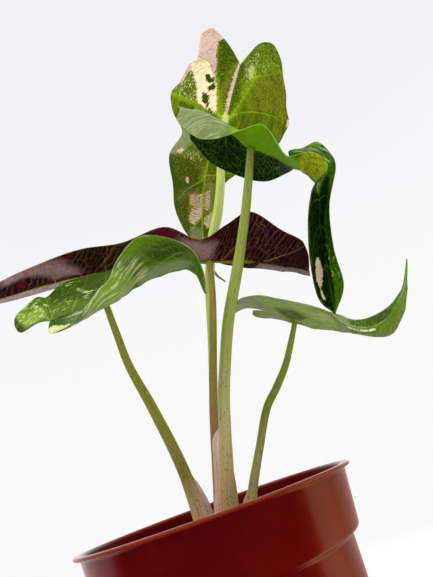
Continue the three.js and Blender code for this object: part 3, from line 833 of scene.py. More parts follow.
# The shared skin of the petioles: fine lines along them, short dark dashes, and a paler foot.
def stemSkinGroup():
    group, entry = newGroup(
        "stemSkin",
        {
            "Place": "Vector", "Wing": "Float", "Low": "Color", "High": "Color", "Foot": "Color",
            "Dash": "Color", "Dashes": "Float", "Foot to": "Float", "High from": "Float",
        },
        {"Color": "Color", "Roughness": "Float", "Height": "Float"},
    )
    place = entry["Place"]
    along = splitVector(group, place)[0]
    lines = grainNoise(group, scaled(group, place, (0.035, 1.5, 1.5)), 1.0, 3.0, 0.6)
    dashNoise = grainNoise(group, scaled(group, place, (0.75, 1.9, 1.9)), 1.0, 2.0, 0.5)
    blotch = grainNoise(group, scaled(group, place, (0.12, 0.4, 0.4)), 1.0, 2.0, 0.5)
    rise = calc(group, "DIVIDE", along, entry["High from"])
    colour = mixColour(group, fade(group, rise, 0.3, 1.1), entry["Low"], entry["High"])
    fall = calc(group, "DIVIDE", along, entry["Foot to"])
    colour = mixColour(group, fade(group, fall, 0.35, 1.2, 1.0, 0.0), colour, entry["Foot"])
    darker = mixColour(group, 1.0, colour, tint(232, 228, 206), "MULTIPLY")
    colour = mixColour(group, fade(group, lines, 0.3, 0.7), colour, darker)
    dashMask = fade(group, dashNoise, 0.6, 0.67)
    patchy = fade(group, blotch, 0.3, 0.5)
    dashMask = product(group, product(group, dashMask, patchy), entry["Dashes"])
    colour = mixColour(group, dashMask, colour, entry["Dash"])
    wingColour = mixColour(group, fade(group, lines, 0.4, 0.6), tint(228, 200, 184), tint(206, 170, 156))
    wingColour = mixColour(group, product(group, dashMask, 0.6), wingColour, entry["Dash"])
    edge = fade(group, entry["Wing"], 0.93, 0.99)
    wingColour = mixColour(group, edge, wingColour, tint(190, 156, 150))
    colour = mixColour(group, fade(group, entry["Wing"], 0.12, 0.3), colour, wingColour)
    height = calc(group, "ADD", lines, product(group, dashMask, -0.2))
    rough = fade(group, blotch, 0.3, 0.7, 0.38, 0.55)
    closeGroup(group, {"Color": colour, "Roughness": rough, "Height": height})
    return group


stemSkin = stemSkinGroup()


def petioleMaterial(name, look):
    material, tree, shader = newMaterial("stemSkin_" + name, 0.45)
    skin = placeGroup(tree, stemSkin, {
        "Place": attribute(tree, "place", "Vector"), "Wing": attribute(tree, "wing"),
        "Low": look["low"], "High": look["high"], "Foot": look["foot"], "Dash": look["dash"],
        "Dashes": look["dashes"], "Foot to": look["footTo"], "High from": look["highFrom"],
    })
    bumpInto(tree, shader, skin["Height"], 0.15, 0.0003)
    fill(tree, shader, {
        "Base Color": skin["Color"], "Roughness": skin["Roughness"], "Specular IOR Level": 0.25,
        "Subsurface Weight": 0.08, "Subsurface Radius": (0.003, 0.004, 0.001),
    })
    return material


# A wing is a thin closed sheet between its line on the petiole and its free edge:
# p(s, v) = axis(s) + v·(edge(s) - axis(s)). Its half thickness is h·sqrt(1 - v³), so it is thick at the
# petiole and nothing at the edge.
def wingSurface(wing):
    index = finerIndex(wing["axis"], petioleGrid["wingRows"])
    inner, outer = smoothCurve(wing["axis"], index), smoothCurve(wing["edge"], index)
    across = np.linspace(0, 1, petioleGrid["wingColumns"] + 1)
    sheet = inner[:, None] + (outer - inner)[:, None] * across[:, None]
    normal = np.cross(np.gradient(sheet, axis=0), np.gradient(sheet, axis=1))
    normal /= np.linalg.norm(normal, axis=2, keepdims=True) + 1e-9
    half = petioleGrid["wingThickness"] / 2 * np.sqrt(np.clip(1 - across**3, 0, 1))[:, None]
    taper = np.clip(np.minimum(index, index[-1] - index) / 0.6, 0, 1)[:, None, None] ** 0.5
    upper, under = sheet + normal * half * taper, sheet - normal * half * taper
    loop = np.concatenate([upper, under[:, ::-1]], axis=1)
    rows, sides = loop.shape[:2]
    acrossAll = np.tile(np.concatenate([across, across[::-1]]), rows)
    place = np.stack([
        np.repeat(lengthAlong(inner), sides), 3 + 4 * acrossAll, np.zeros(rows * sides),
    ], -1)
    wingness = acrossAll * wing.get("coloured", True)
    return loop.reshape(-1, 3), gridTriangles(roundGrid(rows, sides)), place, wingness


# Points that lie together become one, and their fields follow.
def weld(points, triangles, *fields):
    first, back = np.unique(
        np.round(points, 4), axis=0, return_index=True, return_inverse=True
    )[1:]
    triangles = dropClosed(back.ravel()[triangles])
    return points[first], triangles, *[field[first] for field in fields]


# Turns a closed surface the right way out: its volume is then positive.
def facingOut(points, triangles):
    a, b, c = points[triangles[:, 0]], points[triangles[:, 1]], points[triangles[:, 2]]
    volume = np.einsum("ij,ij->i", a, np.cross(b, c)).sum()
    return triangles if volume > 0 else triangles[:, ::-1]


def makePetiole(name, shape, look):
    # Shallow grooves run along the petiole: r is larger by a small wave of the angle.
    def grooves(length, angle):
        ridges = np.sin(angle * 9 + 0.02 * length) * 0.012 + np.sin(angle * 5 + 1.1) * 0.012
        return 1 + ridges + 0.015 * np.sin(length * 0.11) * np.cos(angle)

    sides, steps = petioleGrid["sides"], petioleGrid["steps"]
    points, triangles, place = tube(shape["path"], shape["radius"], sides, steps, grooves)
    parts = [(points, facingOut(points, triangles), place, np.zeros(len(points)))]
    for wing in shape["wings"]:
        points, triangles, place, wingness = weld(*wingSurface(wing))
        parts.append((points, facingOut(points, triangles), place, wingness))
    starts = np.concatenate([[0], np.cumsum([len(part[0]) for part in parts])])[:-1]
    piece = makeMesh(
        "petiole_" + name + "_dressed",
        plantToPart(np.vstack([part[0] for part in parts])),
        np.vstack([part[1] + start for part, start in zip(parts, starts)]),
        [petioleMaterial(name, look)],
        fields={
            "place": np.vstack([part[2] for part in parts]),
            "wing": np.concatenate([part[3] for part in parts]),
        },
    )
    finishPiece(piece, "petiole_" + name)


for petioleName, petioleShape in petioleShapes.items():
    makePetiole(petioleName, petioleShape, petioleLooks[petioleName])
print("petioles made")


# One half of a blade, as a function of the station t and the distance across v:
# p(t, v) = inner(t) + v·(margin(t) - inner(t)) + 4·v·(1 - v)·arch(t)·n(t). The inner line is the
# lobe's free edge and then the midrib, and n is square to the row and to the blade's length.
def bladeHalf(shape, side, sign):
    half, rib, across = shape[side], shape["rib"], bladeGrid["across"]
    lobeCount, lobeRows = len(half["lobe"]), len(half["lobe"]) * bladeGrid["rows"]
    index = finerIndex(half["margin"], bladeGrid["rows"])
    onLobe = index < lobeCount - 1e-9
    inner = np.vstack([
        smoothCurve([*half["lobe"], rib[0]], index[onLobe]),
        smoothCurve(rib, index[~onLobe] - lobeCount),
    ])
    margin = smoothCurve(half["margin"], index)
    chord, middle = margin - inner, (inner + margin) / 2
    width = np.linalg.norm(chord, axis=1)
    bow = np.cross(np.gradient(middle, axis=0), chord) * sign
    bow /= np.linalg.norm(bow, axis=1, keepdims=True) + 1e-9
    arch = listNumber(half["arch"], index)
    sheet = inner[:, None] + chord[:, None] * across[None, :, None]
    sheet = sheet + (bow * arch[:, None])[:, None] * (4 * across * (1 - across))[None, :, None]
    ribLength, middleLength = lengthAlong(inner), lengthAlong(middle)
    ribLength = ribLength - ribLength[lobeRows]
    fromInner = np.hypot(across * width[:, None], np.maximum(ribLength, 0)[:, None])
    fromEdge = np.minimum((1 - across) * width[:, None], fromInner)
    fromEdge[:lobeRows] = np.minimum(fromEdge[:lobeRows], middleLength[:lobeRows, None])
    ribFrom = shape["ribFrom"][side]
    reach = (index - ribFrom) / (index[-1] - ribFrom)
    halfRib = bladeGrid["ribWidth"] * (1 - 0.85 * np.clip(reach, 0, 1)) - 9.0 * np.clip(-3 * reach, 0, 1)
    fromFoot = np.linalg.norm(sheet - sheet[int(ribFrom * bladeGrid["rows"]), 0], axis=2)
    along = index * middleLength[-1] / index[-1]
    return {
        "sheet": sheet, "index": index, "width": width, "sign": sign, "length": middleLength[-1],
        "fromEdge": fromEdge, "fromRib": across * width[:, None] - halfRib[:, None],
        "place": np.stack([fromFoot, sign * across * width[:, None], along[:, None] + 0 * fromFoot], -1),
    }


# Reads points of a half's sheet at chosen (t, v), between the grid's own points.
def readSheet(half, marks):
    marks = np.asarray(marks, float)
    row = np.clip(marks[:, 0] * bladeGrid["rows"], 0, len(half["index"]) - 1.001)
    column = np.interp(marks[:, 1], bladeGrid["across"], np.arange(len(bladeGrid["across"])))
    column = np.clip(column, 0, len(bladeGrid["across"]) - 1.001)
    i, j = row.astype(int), column.astype(int)
    a, b = (row - i)[:, None], (column - j)[:, None]
    sheet = half["sheet"]
    low = sheet[i, j] * (1 - b) + sheet[i, j + 1] * b
    high = sheet[i + 1, j] * (1 - b) + sheet[i + 1, j + 1] * b
    return low * (1 - a) + high * a


# The distance from each point to a chain of segments, less the chain's own half width there.
def chainGap(points, chain, halfWidths):
    start, step = chain[:-1], np.diff(chain, axis=0)
    lengths = (step**2).sum(1) + 1e-9
    gap = np.full(len(points), bladeGrid["farAway"])
    for k in range(len(start)):
        offset = points - start[k]
        part = np.clip(offset @ step[k] / lengths[k], 0, 1)
        distance = np.linalg.norm(offset - part[:, None] * step[k], axis=1)
        gap = np.minimum(gap, distance - (halfWidths[k] * (1 - part) + halfWidths[k + 1] * part))
    return gap


# A lateral vein runs from the midrib to the margin and bends towards the tip: v = u and
# t = tRib + (tMargin - tRib)·(0.35·u + 0.65·u^1.6).
def lateral(start, end, reach=0.96):
    u = np.linspace(0, 1, 9)
    return np.column_stack([start + (end - start) * (0.35 * u + 0.65 * u**1.6), reach * u])


def fanOfLaterals(lobeCount, stations):
    veins = [lateral(lobeCount, goal, 0.8) for goal in (0.5, 1.6) if goal < lobeCount - 0.4]
    veins.append(lateral(lobeCount + 0.1, lobeCount - 0.1))
    start = lobeCount + 0.8
    while start < stations - 2.2:
        veins.append(lateral(start, start + 1.25))
        start += bladeGrid["veinSpacing"]
    return veins


# Signed distance in millimetres from the edge of a patch, positive inside it. The patch's corners are
# given as (t, v) on one half, which is taken as a flat strip of its middling width.
def patchField(half, corners):
    stationLength = half["length"] / half["index"][-1]
    stripWidth = np.median(half["width"])
    x = (half["index"] * stationLength)[:, None] + 0 * bladeGrid["across"]
    y = bladeGrid["across"] * stripWidth + 0 * x
    outline = np.asarray(corners, float) * [stationLength, stripWidth]
    distance = np.full(x.shape, bladeGrid["farAway"])
    inside = np.zeros(x.shape, bool)
    for (x0, y0), (x1, y1) in zip(outline, np.roll(outline, -1, axis=0)):
        stepX, stepY = x1 - x0, y1 - y0
        part = ((x - x0) * stepX + (y - y0) * stepY) / (stepX**2 + stepY**2 + 1e-9)
        part = np.clip(part, 0, 1)
        distance = np.minimum(distance, np.hypot(x - x0 - part * stepX, y - y0 - part * stepY))
        crosses = (y0 > y) != (y1 > y)
        inside ^= crosses & (x < x0 + (y - y0) * stepX / (stepY + (stepY == 0) * 1e-9))
    return np.where(inside, distance, -distance)


# Sheen patches are a painted sheen. Bright patches are partly the leaf's lighter green and partly painted
# light shining through the blade.
patchKinds = [
    "deep", "bright", "sheen", "pale", "dim", "cream", "pink", "island", "mosaic", "fleck", "streaky",
    "ladder",
]
skinPlan = {
    "under": ["deep", "bright", "sheen", "pale"],
    "over": ["cream", "pink"],
    "netOverPale": tint(218, 200, 192),
    "withoutColour": ["dim", "island", "streaky", "ladder"],
    "specks": {"mosaic": (0.08, 0.75), "fleck": (0.04, 1.0)},  # softness and strength
    # the input that says how strong it is, and the two distances between which it ends
    "lines": {"Vein": ("Veins", -0.12, 0.35), "Rib": ("Ribs", -0.2, 0.45), "Edge": ("Edging", 0.1, 0.5)},
}


def leafSkinInputs():
    vectors = ["Place", "Cell", "Speck", "Streak", "Line"]
    colours = ["Ground", "Mottle", "Streak colour", "Net colour"]
    colours += [line + " colour" for line in skinPlan["lines"]]
    colours += [kind + " colour" for kind in patchKinds if kind not in skinPlan["withoutColour"]]
    numbers = ["Streaks", "Patch streaks", "Lines", "Net", "Net width", "Ragged", "Soft"]
    numbers += [kind + " level" for kind in skinPlan["specks"]]
    numbers += [kind + " field" for kind in patchKinds]
    for line, settings in skinPlan["lines"].items():
        numbers += [line, settings[0]]
    kinds = {"Vector": vectors, "Color": colours, "Float": numbers}
    return {name: kind for kind, names in kinds.items() for name in names}


# Place divided by one of the sizes.
def sizedPlace(group, entry, size):
    inputs = {0: entry["Place"], 1: entry[size]}
    return addNode(group, "ShaderNodeVectorMath", inputs, operation="DIVIDE").outputs[0]


# Place bent by a slow noise, so that the cells of the net aren't straight.
def bentPlace(group, entry):
    cellPlace = sizedPlace(group, entry, "Cell")
    wander = product(group, grainNoise(group, cellPlace, 0.35, 2.0, 0.5), 1.6)
    inputs = {0: cellPlace, 1: wander}
    return addNode(group, "ShaderNodeVectorMath", inputs, operation="ADD").outputs[0]


# How far along Line a point is, a little waved, and from it the distance to the nearest even line,
# 0 on the line and 0.5 halfway to the next.
def toEvenLine(group, entry, broad, fine):
    inputs = {0: entry["Place"], 1: entry["Line"]}
    measured = addNode(group, "ShaderNodeVectorMath", inputs, operation="DOT_PRODUCT").outputs["Value"]
    waved = calc(group, "MULTIPLY_ADD", broad, 2.6, measured)
    waved = calc(group, "MULTIPLY_ADD", fine, 0.5, waved)
    return calc(group, "PINGPONG", waved, 0.5)


# The net of fine veins: the borders of large cells, fainter ones of small cells, and the even lines.
def veinNet(group, entry, bent, broad, toLine):
    nets = []
    for scale in (1.0, 2.2):
        cells = addNode(
            group, "ShaderNodeTexVoronoi", {"Vector": bent, "Scale": scale}, feature="DISTANCE_TO_EDGE"
        ).outputs["Distance"]
        nets.append(fade(group, cells, 0.01, entry["Net width"], 1.0, 0.0))
    net = calc(group, "MAXIMUM", nets[0], product(group, nets[1], 0.3))
    lines = product(group, fade(group, toLine, 0.04, 0.16, 1.0, 0.0), entry["Lines"])
    net = calc(group, "MAXIMUM", net, lines)
    return product(group, net, fade(group, broad, 0.34, 0.52, 0.35, 1.0))


# Where a kind of patch lies: 1 inside and 0 outside, with an edge that noise tears.
def tornMask(group, entry, kind, soft, ragged=1.0, detail=5.0):
    shift = (patchKinds.index(kind) * 31.0, patchKinds.index(kind) * 17.0, 0)
    torn = grainNoise(group, scaled(group, entry["Place"], (1, 0.5, 0), shift), 0.75, detail, 0.72)
    tear = product(group, calc(group, "SUBTRACT", torn, 0.5), entry["Ragged"])
    over = calc(group, "ADD", entry[kind + " field"], product(group, tear, ragged))
    return fade(group, over, product(group, soft, -1.0), soft)


# The shared skin of the blades. Place holds three distances in millimetres: from the attachment point,
# from the midrib and along the blade. Each patch comes as a signed distance, and noise tears its edge.
# Over the patches lie long soft streaks, a net of fine veins whose cells are longer one way, specks,
# the main veins, the midrib and the margin line. Place is divided by Cell, Speck and Streak, which are
# sizes. Line is square to a run of nearly even lines, and its length is how many there are in each
# millimetre. Soft is how softly the lower patches end.
def leafSkinGroup():
    group, entry = newGroup(
        "leafSkin", leafSkinInputs(), {"Color": "Color", "Roughness": "Float", "Height": "Float"}
    )
    bent = bentPlace(group, entry)
    broad = grainNoise(group, bent, 0.22, 3.0, 0.6)
    fine = grainNoise(group, bent, 1.6, 3.0, 0.6)
    toLine = toEvenLine(group, entry, broad, fine)
    net = veinNet(group, entry, bent, broad, toLine)

    colour = mixColour(group, fade(group, broad, 0.38, 0.62), entry["Ground"], entry["Mottle"])
    # Sheen is a painted sheen; bright is partly lighter green and partly painted light shining through the
    # blade.
    for kind in skinPlan["under"]:
        mask = tornMask(group, entry, kind, entry["Soft"], 0.8, 2.0)
        colour = mixColour(group, mask, colour, entry[kind + " colour"])
    # Pale streaks are partly the leaf's own streaks and partly a painted sheen, strongest in the streaky
    # patches.
    streak = grainNoise(group, sizedPlace(group, entry, "Streak"), 1.0, 5.0, 0.7, 0.4)
    streaky = tornMask(group, entry, "streaky", 1.5, 0.8, 2.0)
    streaks = calc(group, "MAXIMUM", entry["Streaks"], product(group, streaky, entry["Patch streaks"]))
    streakMask = product(group, fade(group, streak, 0.46, 0.66), streaks)
    colour = mixColour(group, streakMask, colour, entry["Streak colour"])
    colour = mixColour(group, product(group, net, entry["Net"]), colour, entry["Net colour"])
    dimming = product(group, tornMask(group, entry, "dim", 0.8), 0.8)
    colour = mixColour(group, dimming, colour, entry["deep colour"])

    netShade = fade(group, net, 0.0, 1.0, 0.0, 0.8)
    for kind in skinPlan["over"]:
        lined = mixColour(group, netShade, entry[kind + " colour"], skinPlan["netOverPale"], "MULTIPLY")
        colour = mixColour(group, tornMask(group, entry, kind, 0.22), colour, lined)
    colour = mixColour(group, tornMask(group, entry, "island", 0.22), colour, entry["deep colour"])
    rungs = fade(group, toLine, 0.1, 0.3, 0.85, 0.0)
    ladder = product(group, rungs, tornMask(group, entry, "ladder", 0.5))
    colour = mixColour(group, ladder, colour, entry["mosaic colour"])

    speckNoise = grainNoise(group, sizedPlace(group, entry, "Speck"), 1.0, 3.0, 0.65, 0.3)
    notDim = fade(group, dimming, 0.0, 1.0, 1.0, 0.4)
    for kind, (soft, strength) in skinPlan["specks"].items():
        over = calc(group, "SUBTRACT", speckNoise, entry[kind + " level"])
        specks = product(group, fade(group, over, -soft / 2, soft / 2, 0.0, strength), notDim)
        mask = product(group, specks, tornMask(group, entry, kind, 0.5))
        colour = mixColour(group, mask, colour, entry[kind + " colour"])

    uneven = {
        "Vein": fade(group, fine, 0.3, 0.6, 0.6, 1.0), "Rib": 1.0,
        "Edge": fade(group, broad, 0.4, 0.62, 0.15, 1.0),
    }
    for line, (strength, low, high) in skinPlan["lines"].items():
        mask = product(group, fade(group, entry[line], low, high, 1.0, 0.0), uneven[line])
        mask = product(group, mask, entry[strength])
        colour = mixColour(group, mask, colour, entry[line + " colour"])
    colour = shaded(group, colour, fade(group, fine, 0.3, 0.7, 0.88, 1.06))
    rough = fade(group, fine, 0.3, 0.7, 0.0, 0.12)
    height = calc(group, "ADD", product(group, net, -0.5), product(group, fine, 0.5))
    closeGroup(group, {"Color": colour, "Roughness": rough, "Height": height})
    return group


leafSkin = leafSkinGroup()


bladeGrid = {
    "rows": 14,  # to a station
    "across": np.concatenate([np.linspace(0, 0.94, 32), [0.96, 0.975, 0.988, 0.996, 1.0]]),
    "thickness": 0.6,
    "leastHalf": 0.05,
    "marginRound": 1.2,
    "reliefFrom": 4,  # from the margin inwards to here the relief grows
    "ribWidth": 0.75,
    "ribSpread": 0.6,
    "ribHeight": 0.45,
    "ribSink": 0.2,
    "veinWidth": (0.3, 0.05),  # half of it, at the midrib and at the margin
    "veinSpread": 0.7,
    "veinHeight": 0.12,
    "veinSink": 0.1,
    "veinSpacing": 1.15,
    "quilt": 0.28,
    "quiltSpread": 2.6,
    "farAway": 9.0,
}


def leafMaterial(name, look, face):
    material, tree, shader = newMaterial(name + face, 0.4)
    values = dict(leafBasics, **look["both"])
    values.update(look.get(face, {}))
    inputs = {
        "Place": attribute(tree, "place", "Vector"), "Vein": attribute(tree, "vein"),
        "Rib": attribute(tree, "rib"), "Edge": attribute(tree, "edge"),
    }
    for kind in patchKinds:
        inputs[kind + " field"] = attribute(tree, kind + "Field")
    inputs.update({key: value for key, value in values.items() if key not in ("gloss", "relief", "shine")})
    skin = placeGroup(tree, leafSkin, inputs)
    rough = calc(tree, "ADD", skin["Roughness"], values["gloss"])
    bumpInto(tree, shader, skin["Height"], 0.5, values["relief"])
    fill(tree, shader, {
        "Base Color": skin["Color"], "Roughness": rough, "Specular IOR Level": values["shine"],
    })
    return material


# The fields of one half: its place, and how far each point is from the nearest vein, from the midrib,
# from the edge and, for each kind of patch, from the patches' edges.
def halfFields(shape, side, half):
    points = half["sheet"].reshape(-1, 3)
    veins = shape["veins"].get(side)
    if veins is None:
        stations = len(half["index"]) // bladeGrid["rows"] + 1
        veins = fanOfLaterals(len(shape[side]["lobe"]), stations)
    gap = np.full(len(points), bladeGrid["farAway"])
    for vein in veins:
        marks, fine = np.asarray(vein, float), finerIndex(vein, 3)
        marks = np.column_stack([listNumber(marks[:, 0], fine), listNumber(marks[:, 1], fine)])
        chain = readSheet(half, marks)
        gap = np.minimum(gap, chainGap(points, chain, np.linspace(*bladeGrid["veinWidth"], len(chain))))
    fields = [half["place"].reshape(-1, 3), gap, half["fromRib"].ravel(), half["fromEdge"].ravel()]
    for kind in patchKinds:
        field = np.full(half["sheet"].shape[:2], -bladeGrid["farAway"])
        for patchKind, patchSide, corners in shape["patches"]:
            if patchKind == kind and patchSide == side:
                field = np.maximum(field, patchField(half, corners))
        fields.append(np.clip(field, -bladeGrid["farAway"], bladeGrid["farAway"]).ravel())
    return fields


# The way each point faces: the sum of its triangles' normals, each as long as the triangle is large.
def pointNormals(points, triangles):
    corners = points[triangles]
    area = np.cross(corners[:, 1] - corners[:, 0], corners[:, 2] - corners[:, 0])
    normals = np.zeros(points.shape)
    for k in range(3):
        np.add.at(normals, triangles[:, k], area)
    return normals / (np.linalg.norm(normals, axis=1, keepdims=True) + 1e-12)


# Marks the points of a sheet's rim, whose edges have no triangle on their other side.
def rimPoints(triangles, count):
    edges = np.vstack([triangles[:, [0, 1]], triangles[:, [1, 2]], triangles[:, [2, 0]]])
    codes = edges[:, 0] * count + edges[:, 1]
    back = edges[:, 1] * count + edges[:, 0]
    onRim = np.zeros(count, bool)
    onRim[edges[~np.isin(codes, back)].ravel()] = True
    return onRim


# A smooth ridge over a line: exp(-(d/spread)²), d from the line.
def ridge(distance, spread):
    return np.exp(-((np.maximum(distance, 0) / spread) ** 2))


def makeBlade(name, shape, look):
    sheets, triangles, fields, start = [], [], [], 0
    for side, sign in (("left", 1), ("right", -1)):
        half = bladeHalf(shape, side, sign)
        points = half["sheet"].reshape(-1, 3)
        grid = np.arange(len(points)).reshape(half["sheet"].shape[:2]) + start
        triangles.append(gridTriangles(grid, flip=sign < 0))
        start += len(points)
        sheets.append(points)
        fields.append(halfFields(shape, side, half))
    fields = [np.concatenate(parts) for parts in zip(*fields)]
    points, triangles, *fields = weld(np.vstack(sheets), np.vstack(triangles), *fields)
    gap, fromRib, fromEdge = fields[1:4]
    normals, count = pointNormals(points, triangles), len(points)
    onRim = rimPoints(triangles, count)
    triangles = triangles[~onRim[triangles].all(axis=1)]  # a corner with no thickness

    # The blade is thick up to a rounded margin: half thickness = h·sqrt(1 - (1 - d/m)²), d from the
    # edge and m where the round begins.
    depth = np.clip(fromEdge / bladeGrid["marginRound"], 0, 1)
    half = bladeGrid["thickness"] / 2 * np.sqrt(np.clip(1 - (1 - depth) ** 2, 0, 1))
    half = np.where(onRim, 0, np.maximum(half, bladeGrid["leastHalf"]))
    inward = np.clip(fromEdge / bladeGrid["reliefFrom"], 0, 1)
    veinBump = ridge(gap, bladeGrid["veinSpread"]) * inward
    ribBump = ridge(fromRib, bladeGrid["ribSpread"]) * inward
    puff = bladeGrid["quilt"] * (1 - ridge(gap, bladeGrid["quiltSpread"])) * inward
    upperRise = half + puff - bladeGrid["veinSink"] * veinBump - bladeGrid["ribSink"] * ribBump
    underRise = -half + puff - bladeGrid["veinHeight"] * veinBump - bladeGrid["ribHeight"] * ribBump
    faces = [points + normals * np.where(onRim, 0, rise)[:, None] for rise in (upperRise, underRise)]
    underNumber = np.arange(count) + count * ~onRim
    allPoints = np.vstack(faces)
    allTriangles = np.vstack([triangles, underNumber[triangles][:, ::-1]])
    used = np.unique(allTriangles)
    renumber = np.zeros(2 * count, int)
    renumber[used] = np.arange(len(used))
    both = [np.concatenate([field, field])[used] for field in fields]
    names = ["place", "vein", "rib", "edge"] + [kind + "Field" for kind in patchKinds]
    blade = makeMesh(
        "leaf_" + name + "_dressed", plantToPart(allPoints[used]), renumber[allTriangles],
        [leafMaterial(name, look, "Upper"), leafMaterial(name, look, "Under")],
        slots=np.repeat([0, 1], len(triangles)), fields=dict(zip(names, both)),
    )
    finishPiece(blade, "leaf_" + name)
    print("leaf", name, "made,", len(allTriangles), "triangles")


